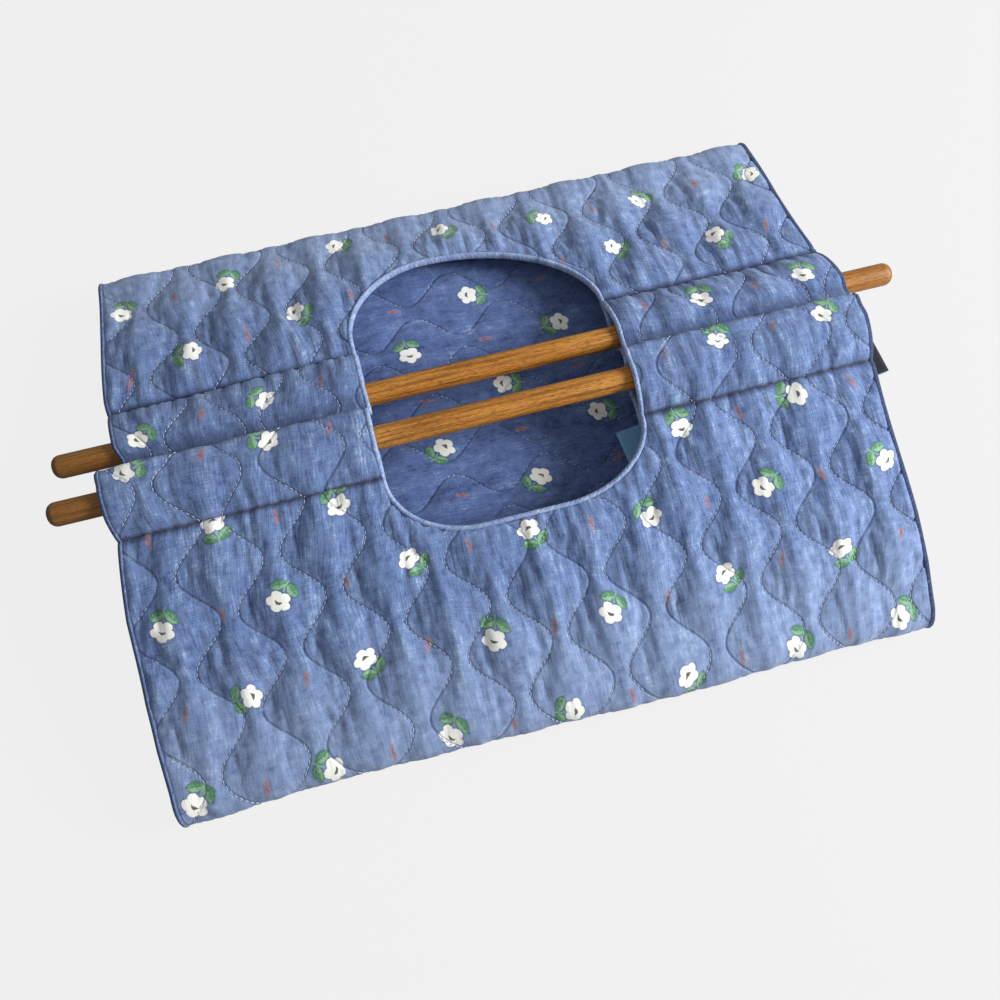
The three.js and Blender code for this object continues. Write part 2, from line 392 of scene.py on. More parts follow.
@dataclass(frozen=True)
class Sprig:
    """The print: a small flower with two leaves, on a half-drop repeat, with dashes in between."""

    repeat: float = 63.2
    row: float = 42.2
    petal_out: float = 3.25
    petal_radius: float = 2.5
    petal_squeeze: float = 1.09
    heart_half_length: float = 1.95
    heart_half_width: float = 0.9
    heart_bow: float = 0.28
    heart_out: float = 0.95
    leaf_middle: tuple[float, float] = (7.2, 3.7)
    leaf_turn: float = 122.0
    leaf_half_length: float = 4.5
    leaf_half_width: float = 2.6
    stalk: tuple[float, float] = (5.0, 12.5)
    limit: float = 15.17
    dash_half_length: float = 4.0
    dash_half_width: float = 1.15

    def centre(self, shader: Shader, across: Wire, along: Wire, shift: float) -> tuple[Wire, ...]:
        """Finds the nearest point of the half-drop lattice.

        Args:
            shader: The shader.
            across: Place across the print.
            along: Place along the print.
            shift: How far the lattice is moved across.

        Returns:
            The place from that point, across and along, and the point itself.
        """
        found = []
        for lag in (0.0, 0.5):
            across_cell = ((across - shift) / self.repeat - lag).math("ROUND") + lag
            along_cell = (along / (2 * self.row) - lag).math("ROUND") + lag
            middle = (across_cell * self.repeat + shift, along_cell * (2 * self.row))
            found.append((across - middle[0], along - middle[1], *middle))
        lengths = [(one[0] * one[0] + one[1] * one[1]) for one in found]
        second = lengths[1].math("LESS_THAN", lengths[0])
        return tuple(shader.pick(second, a, b) for a, b in zip(*found))

    def leaf_turn_at(self, column: int, row: int) -> int:
        """Gives where a flower's leaves point: as seen, or scattered where no flower is seen."""
        known = row in LEAF_TURNS and abs(column) < 7
        return LEAF_TURNS[row][(column + 6) // 2] if known else 37 * column + 61 * row

    def headings(self, printed: np.ndarray, level: float) -> np.ndarray:
        """Gives the heading of the leaves of the flower nearest to each place.

        Args:
            printed: Places in the print's measure.
            level: The heading, in degrees, of leaves that are seen to point to the right.

        Returns:
            The heading's cosine and sine, for each place.
        """
        best = np.full(len(printed), np.inf)
        seen = np.zeros(len(printed))
        for lag in (0, 1):
            cells = 2 * np.rint(printed / (self.repeat, 2 * self.row) - lag / 2) + lag
            gap = np.hypot(*(printed - cells * (self.repeat / 2, self.row)).T)
            turns = [self.leaf_turn_at(column, row) for column, row in cells.astype(int).tolist()]
            seen = np.where(gap < best, turns, seen)
            best = np.minimum(gap, best)
        turn = np.radians(level - seen)
        return np.stack((np.cos(turn), np.sin(turn)), axis=1)

    def paint(self, shader: Shader, ground: Wire, across: Wire, along: Wire) -> Wire:
        """Prints flowers, leaves and dashes over the cloth's own colour.

        Args:
            shader: The shader.
            ground: The cloth's colour.
            across: Place across the print.
            along: Place along the print.

        Returns:
            The printed colour.
        """
        wear = shader.noise(shader.vector(across, along), 0.9, 3.0) - 0.5
        ragged = shader.noise(shader.vector(across, along, 3.0), 0.5, 2.0) - 0.5
        painted = self.paint_dash(shader, ground, across, along, wear)
        x, y, _, _ = self.centre(shader, across, along, 0.0)
        cosine, sine = shader.chart("Leaves")
        beyond = (x * x + y * y).math("GREATER_THAN", self.limit * self.limit) * 60.0
        fx = x * cosine + y * sine + ragged * 1.2 + beyond
        fy = y * cosine - x * sine + wear * 0.8
        painted = self.paint_leaves(shader, painted, fx, fy, wear)
        return self.paint_flower(shader, painted, fx, fy, wear)

    def paint_leaves(self, shader: Shader, ground: Wire, fx: Wire, fy: Wire, wear: Wire) -> Wire:
        """Prints the stalk and its two leaves, which lean back along the flower.

        Args:
            shader: The shader.
            ground: The colour that it is printed over.
            fx: Place from the flower's heart, towards its leaves.
            fy: Place from the heart, to their side.
            wear: How worn the print is.

        Returns:
            The printed colour.
        """
        turn = math.radians(self.leaf_turn)
        x, y = fx - self.leaf_middle[0], abs(fy) - self.leaf_middle[1]
        run = x * math.cos(turn) + y * math.sin(turn)
        off = y * math.cos(turn) - x * math.sin(turn)
        share = run / self.leaf_half_length
        room = (1.0 - share * share) * self.leaf_half_width - abs(off)
        halo = room.step(-1.1, 0.1)
        green = shader.blend((wear * 2.4 + 0.5 + off * 0.3), linear(72, 126, 94), linear(140, 186, 148))
        rim = room.step(0.75, 0.1)
        green = shader.blend(rim * 0.5, green, linear(56, 102, 80))
        vein = (abs(off + 0.1) + (run * 2.6 + abs(off) * 3.0).math("SINE") * 0.12).step(0.42, 0.12)
        green = shader.blend(vein * 0.6, green, linear(50, 98, 72))
        painted = shader.blend(halo * 0.5, ground, linear(44, 70, 84))
        painted = shader.blend(room.step(-0.1, 0.3), painted, green)
        bow = fy - (fx * 0.55).math("SINE") * 0.35
        stalk = abs(bow).step(0.5, 0.22) * fx.step(*[self.stalk[0] + lag for lag in (-0.2, 0.3)])
        stalk = stalk * fx.step(self.stalk[1], self.stalk[1] - 2.5)
        return shader.blend(stalk * 0.85, painted, linear(134, 182, 146))

    def paint_flower(self, shader: Shader, ground: Wire, fx: Wire, fy: Wire, wear: Wire) -> Wire:
        """Prints the five petals and the dark crescent of the heart.

        Args:
            shader: The shader.
            ground: The colour that it is printed over.
            fx: Place from the flower's heart, towards its leaves.
            fy: Place from the heart, to their side.
            wear: How worn the print is.

        Returns:
            The printed colour.
        """
        fx, fy = fx * -self.petal_squeeze, fy / self.petal_squeeze
        radius = (fx * fx + fy * fy).math("SQRT")
        fifth = 2 * math.pi / 5
        angle = fy.math("ARCTAN2", fx).math("PINGPONG", fifth / 2)
        px = radius * angle.math("COSINE") - self.petal_out
        py = radius * angle.math("SINE")
        edge = ((px * px + py * py).math("SQRT") - self.petal_radius).math("MINIMUM", radius - 3.2)
        halo = edge.step(1.1, 0.0)
        white = shader.blend((wear * 1.8).step(0.0, 0.9) * 0.5, linear(250, 250, 244), linear(232, 231, 218))
        white = shader.blend(edge.step(-0.9, 0.1) * 0.22, white, linear(206, 204, 190))
        bow = fx + fy * fy * self.heart_bow - self.heart_out
        span = 1.0 - (fy * fy) / (self.heart_half_length * self.heart_half_length)
        heart = (span * self.heart_half_width - abs(bow + wear * 0.5)).step(-0.12, 0.22)
        painted = shader.blend(halo * 0.35, ground, linear(42, 58, 92))
        painted = shader.blend(edge.step(0.18, -0.2), painted, white)
        return shader.blend(heart * 0.95, painted, linear(82, 80, 68))

    def paint_dash(self, shader: Shader, ground: Wire, across: Wire, along: Wire, wear: Wire) -> Wire:
        """Prints the small rust dashes halfway between the flowers of a row.

        Args:
            shader: The shader.
            ground: The colour that it is printed over.
            across: Place across the print.
            along: Place along the print.
            wear: How worn the print is.

        Returns:
            The printed colour.
        """
        x, y, _, cell_y = self.centre(shader, across, along, self.repeat / 2)
        x = x + y * ((cell_y * 0.7).math("SINE") * 0.25) + wear * 0.6
        share = y / self.dash_half_length
        width = (1.0 - share * share).math("MAXIMUM", 0.0).math("SQRT") * self.dash_half_width
        barb = (y * 2.1).math("SINE") * 0.35
        dash = (width + barb - abs(x + wear * 0.8)).step(-0.35, 0.35) * (1.0 - share * share).step(0.0, 0.2)
        core = (abs(x - barb) * 1.6 + abs(y + 0.4) * 0.45).step(1.3, 0.4)
        rust = shader.blend(core * 0.75, linear(164, 118, 118), linear(112, 72, 64))
        return shader.blend(dash * 0.78, ground, rust)


# Finishes


@dataclass(frozen=True)
class Cotton:
    """Slubbed cotton cloth, plain or printed, quilted or not."""

    name: str
    dark: tuple
    mid: tuple
    light: tuple
    printed: bool = True
    quilted: bool = True
    slub: float = 1.0
    outer_shade: float = 0.0
    seams: tuple[float, ...] = (-126.0, 416.5)
    # worn sets how much paler the calico turns towards the flaps' bends; above 0 it also turns on the painted
    # lip shade
    worn: float = 0.0

    def build(self) -> bpy.types.Material:
        """Makes the material.

        Returns:
            The material.
        """
        shader = Shader(self.name, Roughness=0.93, Sheen_Weight=0.12, Sheen_Roughness=0.6)
        across, along = shader.chart("Print")
        second, third = shader.chart("Quilting")
        warp = shader.noise(shader.vector(across * 1.0, along * 0.12), 1.0, 3.0, 0.6)
        weft = shader.noise(shader.vector(across * 0.12, along * 1.0, 7.0), 1.0, 3.0, 0.6)
        fine = shader.noise(shader.vector(across * 2.2, along * 1.8, 2.0), 1.0, 3.0, 0.6)
        cloud = shader.noise(shader.vector(across, along, 11.0), 0.2, 4.0, 0.65)
        crease = shader.noise(shader.vector(across * 0.13, along * 0.022, 5.0), 1.0, 1.0, 0.4)
        tone = (warp - 0.5) * (1.15 * self.slub) + (weft - 0.5) * (0.5 * self.slub)
        tone = tone + (fine - 0.5) * 1.1 + (cloud - 0.5) * 0.9 + 0.45
        height = warp * 0.12 + weft * 0.08 + fine * 0.10
        if self.quilted:
            # The creases tint the colour too, lighter on their ridges and darker in their hollows: partly
            # painted light and shade, partly wear.
            tone = tone + (crease - 0.5) * 0.65
            height = height + crease * 1.3
        colour = shader.blend(tone.step(0.0, 0.5), self.dark, self.mid)
        colour = shader.blend(tone.step(0.5, 1.0), colour, self.light)
        if self.quilted:
            if self.worn:
                # Paler towards the bends at both ends of the flaps, in cloudy patches; worn sets how much.
                paler_at_bends = third.step(-70.0, 0.0) * third.step(65.0, 25.0)
                paler_at_bends = paler_at_bends + third.step(387.0, 337.0) * third.step(267.0, 305.0)
                colour = shader.blend(paler_at_bends * (cloud * self.worn), colour, linear(178, 198, 230))
                # Painted shade where the front sleeve's lip lies over the rear sleeve: on the rear cloth just
                # behind its lip, and on the underside of the front lip.
                painted_lip_shade = third.step(443.0, 453.0) * 0.45 + third.step(-164.5, -167.5) * 0.7
                colour = shader.blend(painted_lip_shade, colour, linear(34, 46, 88))
            gap = Quilting().gap_wire(second, third)
            for seam in self.seams:
                # Painted shade in the groove of each sleeve's seam, which also joins the quilting valleys
                # below.
                sewn = abs(third - seam + (warp - 0.5) * 1.2)
                colour = shader.blend(sewn.step(5.2, 1.6) * 0.8, colour, linear(26, 38, 76))
                gap = gap.math("MINIMUM", sewn * 0.4)
            # Painted shade along the quilting valleys.
            colour = shader.blend(gap.step(0.8, 0.1) * 0.3, colour, linear(40, 54, 96))
            height = height - gap.step(1.3, 0.0) * 0.4
        else:
            twist = ((second + third * 1.3 + warp * 3.0) * (2 * math.pi / 2.6)).math("SINE")
            # Painted shade in the groove between the roll and its flat flange.
            groove = abs(third - 1.55).step(0.8, 0.25)
            colour = shader.blend(groove * 0.75, colour, linear(30, 42, 78))
            colour = shader.blend(third.step(0.6, -0.2) * self.outer_shade, colour, linear(40, 54, 86))
            height = height + twist * 0.06
        if self.printed:
            colour = Sprig().paint(shader, colour, across, along)
        shader.feed("Base Color", colour)
        shader.bump(height)
        return shader.material


@dataclass(frozen=True)
class StainedWood:
    """Stained dowel wood, with its grain along X and its ends darker from handling."""

    name: str
    ends: tuple[float, float]
    mid: tuple = linear(196, 128, 46)

    def build(self) -> bpy.types.Material:
        """Makes the material.

        Returns:
            The material.
        """
        shader = Shader(self.name, Specular_IOR_Level=0.4)
        x, y, z = (part * 1000.0 for part in shader.split(shader.place()))
        grain = shader.noise(shader.vector(x * 0.02, y * 0.75, z * 0.75), 1.0, 4.0, 0.6)
        pores = shader.noise(shader.vector(x * 0.3, y * 3.6, z * 3.6), 1.0, 3.0, 0.6)
        cloud = shader.noise(shader.vector(x * 0.012, y * 0.03, z * 0.03), 1.0, 2.0)
        colour = shader.blend(cloud.step(0.35, 0.7) * 0.5, self.mid, linear(226, 166, 78))
        colour = shader.blend(grain.step(0.56, 0.36) * 0.8, colour, linear(122, 72, 24))
        colour = shader.blend(pores.step(0.5, 0.62) * 0.75, colour, linear(82, 48, 20))
        handled = (x - (self.ends[0] + 55.0)).step(30.0, -45.0).math(
            "MAXIMUM", (x - (self.ends[1] - 20.0)).step(-20.0, 10.0) * 0.6
        )
        colour = shader.blend(handled * 0.62, colour, linear(98, 66, 34))
        tip = (x - self.ends[0]).step(4.5, 1.5).math("MAXIMUM", (x - self.ends[1]).step(-4.0, -1.0) * 0.6)
        colour = shader.blend(tip * 0.7, colour, linear(46, 30, 24))
        shader.feed("Base Color", colour)
        shader.feed("Roughness", grain * 0.25 + 0.36)
        shader.bump(grain * 0.10 - pores * 0.12)
        return shader.material


@dataclass(frozen=True)
class Tape:
    """Narrow woven tape, with ribs across it."""

    name: str
    dark: tuple
    light: tuple
    rib: float = 0.9
    pile: float = 0.1

    def build(self) -> bpy.types.Material:
        """Makes the material.

        Returns:
            The material.
        """
        shader = Shader(self.name, Roughness=0.88, Sheen_Weight=0.1)
        across, along = shader.chart("Print")
        rib = ((along * (2 * math.pi / self.rib)).math("SINE") + 1.0) * 0.5
        yarn = ((across * (2 * math.pi / self.rib)).math("SINE") + 1.0) * 0.5
        mottle = shader.noise(shader.vector(across * 0.4, along * 0.4), 1.0, 3.0)
        shader.feed("Base Color", shader.blend(rib * yarn * 0.5 + mottle * 0.5, self.dark, self.light))
        shader.bump((rib * yarn) * self.pile)
        return shader.material


@dataclass(frozen=True)
class Plain:
    """One even colour."""

    name: str
    colour: tuple
    roughness: float = 0.9

    def build(self) -> bpy.types.Material:
        """Makes the material."""
        return Shader(self.name, Base_Color=self.colour, Roughness=self.roughness).material


class Finish(Enum):
    """The finishes of the carrier."""

    CALICO = Cotton(
        "calico_print", linear(54, 73, 118), linear(101, 125, 172), linear(166, 189, 222), worn=0.5
    )
    # A darker copy of the calico for the wrap panel: painted shade, as the wrap is seen in the shade inside
    # the hand opening.
    SHADED_CALICO = Cotton(
        "wrap_print_painted_shade", linear(42, 58, 104), linear(86, 110, 164), linear(140, 164, 208), slub=0.8, seams=()
    )
    LINING = Cotton(
        "lining_cotton", linear(66, 84, 134), linear(110, 131, 186), linear(166, 186, 222), printed=False
    )
    EDGING = Cotton(
        "edging_cotton", linear(86, 106, 154), linear(142, 164, 206), linear(214, 226, 243), False, False
    )
    SIDE_EDGING = Cotton(
        "side_edging_cotton", linear(60, 78, 126), linear(100, 122, 168), linear(160, 180, 212), False, False,
        outer_shade=0.9,
    )
    THREAD = Plain("quilting_thread", linear(222, 230, 248))
    # The strap tape is coloured lighter than the tape's own colour: painted light, for the shade it lies in
    # by the hand opening.
    STRAP = Tape("strap_tape", linear(112, 172, 222), linear(160, 212, 250))
    HOOK = Tape("hook_tape", linear(10, 14, 26), linear(26, 34, 52), 0.7, 0.35)

    def material(self) -> bpy.types.Material:
        """Gives the finish's material, made once."""
        return bpy.data.materials.get(self.value.name) or self.value.build()


# Flat cloth and the lines it is laid along


class Fold:
    """The line that a folded cloth follows, measured along itself."""

    def __init__(self, points: np.ndarray, marks: dict[str, int]) -> None:
        """Measures the line.

        Args:
            points: Points of the cloth's middle, as distance out and height.
            marks: Names of places on the line, by point number.
        """
        steps = np.diff(points, axis=0)
        keep = np.concatenate(([True], np.hypot(*steps.T) > 1e-6))
        run = np.concatenate(([0.0], np.cumsum(np.hypot(*steps.T))))
        self.marks = {name: float(run[number]) for name, number in marks.items()}
        self.run = run[keep]
        self.points = points[keep]
        tangents = np.gradient(self.points, self.run, axis=0)
        tangents /= np.hypot(*tangents.T)[:, None]
        self.normals = np.stack((tangents[:, 1], -tangents[:, 0]), axis=1)
        self.length = float(self.run[-1])

    def at(self, along: np.ndarray, height: np.ndarray) -> tuple[np.ndarray, np.ndarray]:
        """Lays places of the cloth on the line.

        Args:
            along: Where along the cloth.
            height: How far above the cloth's middle.

        Returns:
            Distance out and height.
        """
        out, up = (np.interp(along, self.run, self.points[:, axis]) for axis in (0, 1))
        lean, rise = (np.interp(along, self.run, self.normals[:, axis]) for axis in (0, 1))
        return out + height * lean, up + height * rise


def curve(start: tuple, leave: tuple, reach: tuple, end: tuple, steps: int = 24) -> np.ndarray:
    """Gives points of a Bezier curve.

    Args:
        start: Its first point.
        leave: The point that it leaves towards.
        reach: The point that it arrives from.
        end: Its last point.
        steps: How many points.

    Returns:
        The points, without the first one.
    """
    share = np.linspace(0, 1, steps + 1)[1:, None]
    rest = 1 - share
    terms = (rest**3, 3 * rest**2 * share, 3 * rest * share**2, share**3)
    return sum(term * np.array(point, float) for term, point in zip(terms, (start, leave, reach, end)))


def arc(centre: tuple, radius: float, start: float, end: float, steps: int = 24) -> np.ndarray:
    """Gives points of an arc between two angles in radians, without its first one."""
    angle = np.linspace(start, end, steps + 1)[1:]
    return np.stack((centre[0] + radius * np.cos(angle), centre[1] + radius * np.sin(angle)), axis=1)


def straight(start: tuple, end: tuple, steps: int = 24) -> np.ndarray:
    """Gives points of a straight line, without its first one."""
    share = np.linspace(0, 1, steps + 1)[1:, None]
    return np.array(start) * (1 - share) + np.array(end) * share


def finish_mesh(name: str, mesh: bmesh.types.BMesh, places: np.ndarray) -> bpy.types.Object:
    """Turns a flat mesh and its vertices' real places into an object.

    Args:
        name: The piece's name.
        mesh: The mesh, which is used up.
        places: A place for each vertex, in millimetres.

    Returns:
        The object, at the origin, with its faces outwards.
    """
    data = bpy.data.meshes.new(name)
    for vertex, place in zip(mesh.verts, (places * MM).tolist()):
        vertex.co = place
    if mesh.calc_volume(signed=True) < 0:
        bmesh.ops.reverse_faces(mesh, faces=mesh.faces[:])
    mesh.to_mesh(data)
    mesh.free()
    data.polygons.foreach_set("use_smooth", [True] * len(data.polygons))
    piece = bpy.data.objects.new(name, data)
    bpy.context.scene.collection.objects.link(piece)
    return piece


def finish_cloth(
    name: str, mesh: bmesh.types.BMesh, places: np.ndarray, outer: np.ndarray, printed: Finish
) -> bpy.types.Object:
    """Turns a flat quilted cloth and its real places into an object with a lining.

    Args:
        name: The piece's name.
        mesh: The mesh, which is used up.
        places: A place for each vertex, in millimetres.
        outer: Which vertices are on the printed face.
        printed: The finish of that face.

    Returns:
        The object.
    """
    lined = [not any(outer[vertex.index] for vertex in face.verts) for face in mesh.faces]
    piece = finish_mesh(name, mesh, places)
    for finish in (printed, Finish.LINING):
        piece.data.materials.append(finish.material())
    piece.data.polygons.foreach_set("material_index", np.array(lined, int))
    LOG.info("%s: %d faces", name, len(lined))
    return piece


def chart(piece: bpy.types.Object, name: str, values: np.ndarray) -> None:
    """Gives a piece a UV map.

    Args:
        piece: The piece.
        name: The map's name.
        values: Two numbers for each vertex.
    """
    data = piece.data
    corners = np.zeros(len(data.loops), int)
    data.loops.foreach_get("vertex_index", corners)
    layer = data.uv_layers.new(name=name)
    layer.data.foreach_set("uv", values[corners].astype(np.float32).ravel())


def flat_places(mesh: bmesh.types.BMesh) -> np.ndarray:
    """Gives a mesh's vertices as an array."""
    return np.array([vertex.co[:] for vertex in mesh.verts], float)


def index_grid(columns: int, rows: int) -> bmesh.types.BMesh:
    """Makes a flat grid whose vertices lie at their column and row numbers.

    Args:
        columns: How many columns of vertices.
        rows: How many rows of vertices.

    Returns:
        The mesh.
    """
    mesh = bmesh.new()
    bmesh.ops.create_grid(mesh, x_segments=columns - 1, y_segments=rows - 1, size=0.5)
    for vertex in mesh.verts:
        column = round((vertex.co.x + 0.5) * (columns - 1))
        row = round((vertex.co.y + 0.5) * (rows - 1))
        vertex.co = (column, row, 0)
    return mesh


@dataclass
class QuiltGrid:
    """A grid of flat cloth whose vertices are drawn onto its stitched lines and its cut edges."""

    columns: np.ndarray
    rows: np.ndarray

    def __post_init__(self) -> None:
        """Spreads the columns and the rows out as places."""
        self.across, self.along = np.meshgrid(self.columns, self.rows)
        self.sewn = np.zeros(self.across.shape, bool)
        self.shift = np.zeros((*self.across.shape, 3))

    def draw_line(self, line: np.ndarray) -> None:
        """Moves the nearest vertex of each row onto a stitched line.

        Args:
            line: The line's place across, for each row.
        """
        step = self.columns[1] - self.columns[0]
        column = np.rint((line - self.columns[0]) / step).astype(int)
        rows = np.nonzero((column > 0) & (column < len(self.columns) - 1))[0]
        self.across[rows, column[rows]] = line[rows]
        self.sewn[rows, column[rows]] = True

    def cut(self, away: Callable, inset: float) -> bmesh.types.BMesh:
        """Cuts the cloth, draws its cut edge smooth and gives it two faces.

        Args:
            away: A function that gives how far inside the cut places are.
            inset: How far inside the cut the cloth ends.

        Returns:
            The mesh, whose vertices lie at their column and row numbers, one above and one below.
        """
        middle = [(a[1:, 1:] + a[:-1, 1:] + a[1:, :-1] + a[:-1, :-1]) / 4 for a in (self.across, self.along)]
        kept = away(*middle) > inset
        around = np.pad(kept, 1, mode="edge")
        corners = np.stack((around[1:, 1:], around[:-1, 1:], around[1:, :-1], around[:-1, :-1]))
        rim = corners.any(axis=0) & ~corners.all(axis=0)
        for _ in range(3):
            x, y = self.across[rim], self.along[rim]
            gap = away(x, y)
            lean = away(x + 0.4, y) - away(x - 0.4, y)
            rise = away(x, y + 0.4) - away(x, y - 0.4)
            size = np.maximum(np.hypot(lean, rise), 1e-6)
            self.across[rim] += (inset - gap) * lean / size
            self.along[rim] += (inset - gap) * rise / size
        mesh = index_grid(len(self.columns), len(self.rows))
        out = [
            face for face in mesh.faces
            if not kept[int(face.calc_center_median().y), int(face.calc_center_median().x)]
        ]
        bmesh.ops.delete(mesh, geom=out, context="FACES")
        bmesh.ops.solidify(mesh, geom=mesh.faces[:], thickness=1.0)
        return mesh

    def read(self, mesh: bmesh.types.BMesh) -> tuple[np.ndarray, np.ndarray, np.ndarray]:
        """Reads the flat places of a mesh that was cut from the grid.

        Args:
            mesh: The mesh.

        Returns:
            Flat places, how far each vertex has settled, and whether it is on the printed face.
        """
        places = flat_places(mesh)
        column, row = (np.rint(places[:, axis]).astype(int) for axis in (0, 1))
        outer = places[:, 2] > (places[:, 2].min() + places[:, 2].max()) / 2
        flat = np.stack((self.across[row, column], self.along[row, column], np.zeros(len(row))), axis=1)
        return flat, self.shift[row, column], outer

    def settle(self, first: int, last: int, held: np.ndarray, cloth: "Gathered") -> None:
        """Lets the top cloth settle between two rows.

        Args:
            first: The first row.
            last: The row after the last.
            held: Which vertices the edges hold.
            cloth: How the cloth is gathered.
        """
        rows = slice(first, last)
        held = (self.sewn | held)[rows]
        held[0] = True
        self.shift[rows] = cloth.settle(self.across[rows], self.along[rows], held)


@dataclass(frozen=True)
class Gathered:
    """A cloth that its stitches hold while it is drawn in and the padding lifts it."""

    gather: tuple[float, float] = (1.06, 1.015)
    lift: float = 8.5
    stiffness: float = 2.5
    frames: int = 34
    drawn: int = 14
    unit: float = 0.01

    def settle(self, across: np.ndarray, along: np.ndarray, held: np.ndarray) -> np.ndarray:
        """Runs the cloth simulation.

        Args:
            across: Places across, by row and column.
            along: Places along.
            held: Which vertices are sewn down.

        Returns:
            How far each vertex has moved: across, along and up.
        """
        rows, columns = across.shape
        mesh = index_grid(columns, rows)
        order = np.rint(flat_places(mesh)).astype(int)
        column, row = order[:, 0], order[:, 1]
        start = np.stack((across[row, column], along[row, column], np.zeros(len(row))), axis=1)
        data = bpy.data.meshes.new("top_cloth")
        mesh.to_mesh(data)
        mesh.free()
        top = bpy.data.objects.new("top_cloth", data)
        bpy.context.scene.collection.objects.link(top)
        loose = ~held[row, column]
        wide = start * (*self.gather, 1.0)
        wide[:, 2] = np.random.default_rng(3).uniform(0, 0.2, len(row)) * loose
        for name, places in (("drawn", start), ("cut", wide)):
            key = top.shape_key_add(name=name)
            key.data.foreach_set("co", (places * self.unit).ravel())
        for value, frame_number in ((1.0, 1), (0.0, self.drawn)):
            key.value = value
            key.keyframe_insert("value", frame=frame_number)
        sewn = top.vertex_groups.new(name="sewn")
        sewn.add(np.nonzero(~loose)[0].tolist(), 1.0, "REPLACE")
        self.set_up(top.modifiers.new("settle", "CLOTH"))
        for number in range(1, self.frames + 1):
            bpy.context.scene.frame_set(number)
        settled = top.evaluated_get(bpy.context.evaluated_depsgraph_get()).data
        places = np.zeros(len(row) * 3)
        settled.vertices.foreach_get("co", places)
        shift = np.zeros((rows, columns, 3))
        shift[row, column] = places.reshape(-1, 3) / self.unit - start
        bpy.data.objects.remove(top)
        bpy.context.scene.frame_set(1)
        LOG.info("settled %d by %d, up to %.1f mm high", rows, columns, shift[..., 2].max())
        return shift

    def set_up(self, cloth: bpy.types.Modifier) -> None:
        """Sets the cloth's weight, stiffness and lift.

        Args:
            cloth: The cloth modifier.
        """
        values = cloth.settings
        values.quality = 5
        values.mass = 0.2
        values.tension_stiffness = values.compression_stiffness = 25
        values.shear_stiffness = 12
        values.bending_stiffness = self.stiffness
        values.air_damping = 2
        values.vertex_group_mass = "sewn"
        values.use_pressure = True
        values.uniform_pressure_force = self.lift
        values.effector_weights.gravity = 0
        cloth.collision_settings.use_collision = False
        cloth.point_cache.frame_end = self.frames


def sew(mesh: bmesh.types.BMesh, across: np.ndarray, along: np.ndarray, clear: Callable) -> None:
    """Sews one line of quilting, with a small grain of thread for each stitch.

    Args:
        mesh: The mesh to add to, in flat places.
        across: Points of the line across.
        along: Points of the line along.
        clear: A function that says at which places thread shows.
    """
    quilting = Quilting()
    run = np.concatenate(([0], np.cumsum(np.hypot(np.diff(across), np.diff(along)))))
    knots = np.arange(2, run[-1], quilting.stitch + quilting.stitch_gap)
    x, y = np.interp(knots, run, across), np.interp(knots, run, along)
    turns = np.arctan2(np.gradient(y), np.gradient(x))
    stitches = np.stack((x, y, turns), axis=1)[clear(x, y)]
    line = bmesh.new()
    size = Matrix.Diagonal((quilting.stitch / 2, *THREAD_RADII, 1))
    for x, y, turn in stitches:
        where = Matrix.Translation((x, y, 0)) @ Matrix.Rotation(turn, 4, "Z") @ size
        bmesh.ops.create_icosphere(line, subdivisions=1, radius=1.0, matrix=where)
    data = bpy.data.meshes.new("line")
    line.to_mesh(data)
    line.free()
    mesh.from_mesh(data)
    bpy.data.meshes.remove(data)


def strip(route: np.ndarray, section: np.ndarray) -> tuple[bmesh.types.BMesh, np.ndarray]:
    """Runs a closed section along a flat route and closes its ends.

    Args:
        route: Points of the route in the flat cloth.
        section: Points of the section, as distance to the left of the route and height.

    Returns:
        The mesh, in flat places, and for each vertex the run along the route and the place across it.
    """
    steps, sides = len(route) - 1, len(section)
    mesh = index_grid(steps + 1, sides + 1)
    run = np.concatenate(([0], np.cumsum(np.hypot(*np.diff(route, axis=0).T))))
    heading = np.gradient(route, axis=0)
    heading /= np.hypot(*heading.T)[:, None]
    for vertex in mesh.verts:
        step, side = round(vertex.co.x), round(vertex.co.y) % sides
        left, height = section[side]
        vertex.co = (
            route[step][0] - heading[step][1] * left,
            route[step][1] + heading[step][0] * left,
            height,
        )
    bmesh.ops.remove_doubles(mesh, verts=mesh.verts[:], dist=1e-4)
    bmesh.ops.holes_fill(mesh, edges=mesh.edges[:], sides=sides)
    flat = flat_places(mesh)
    inward = np.sign(section[:, 0].sum())
    charts = np.zeros((len(flat), 2))
    for number, (x, y, _) in enumerate(flat):
        nearest = int(np.argmin((route[:, 0] - x) ** 2 + (route[:, 1] - y) ** 2))
        across, along = heading[nearest]
        off = -(x - route[nearest][0]) * along + (y - route[nearest][1]) * across
        charts[number] = (run[nearest], off * inward)
    return mesh, charts


ROLL = np.array([
    (-1.5, 0.0), (-1.35, 1.1), (-0.8, 1.95), (0.0, 2.2), (0.7, 1.85), (1.15, 1.15), (1.9, 1.15), (2.6, 0.6),
    (2.6, -0.6), (1.9, -1.15), (1.15, -1.15), (0.7, -1.85), (0.0, -2.2), (-0.8, -1.95), (-1.35, -1.1),
])
ROLL_INSET = 1.5
THREAD_RADII = (0.15, 0.2)
QUILT_SHIFT = (11.0, 5.0)


# The handle panel


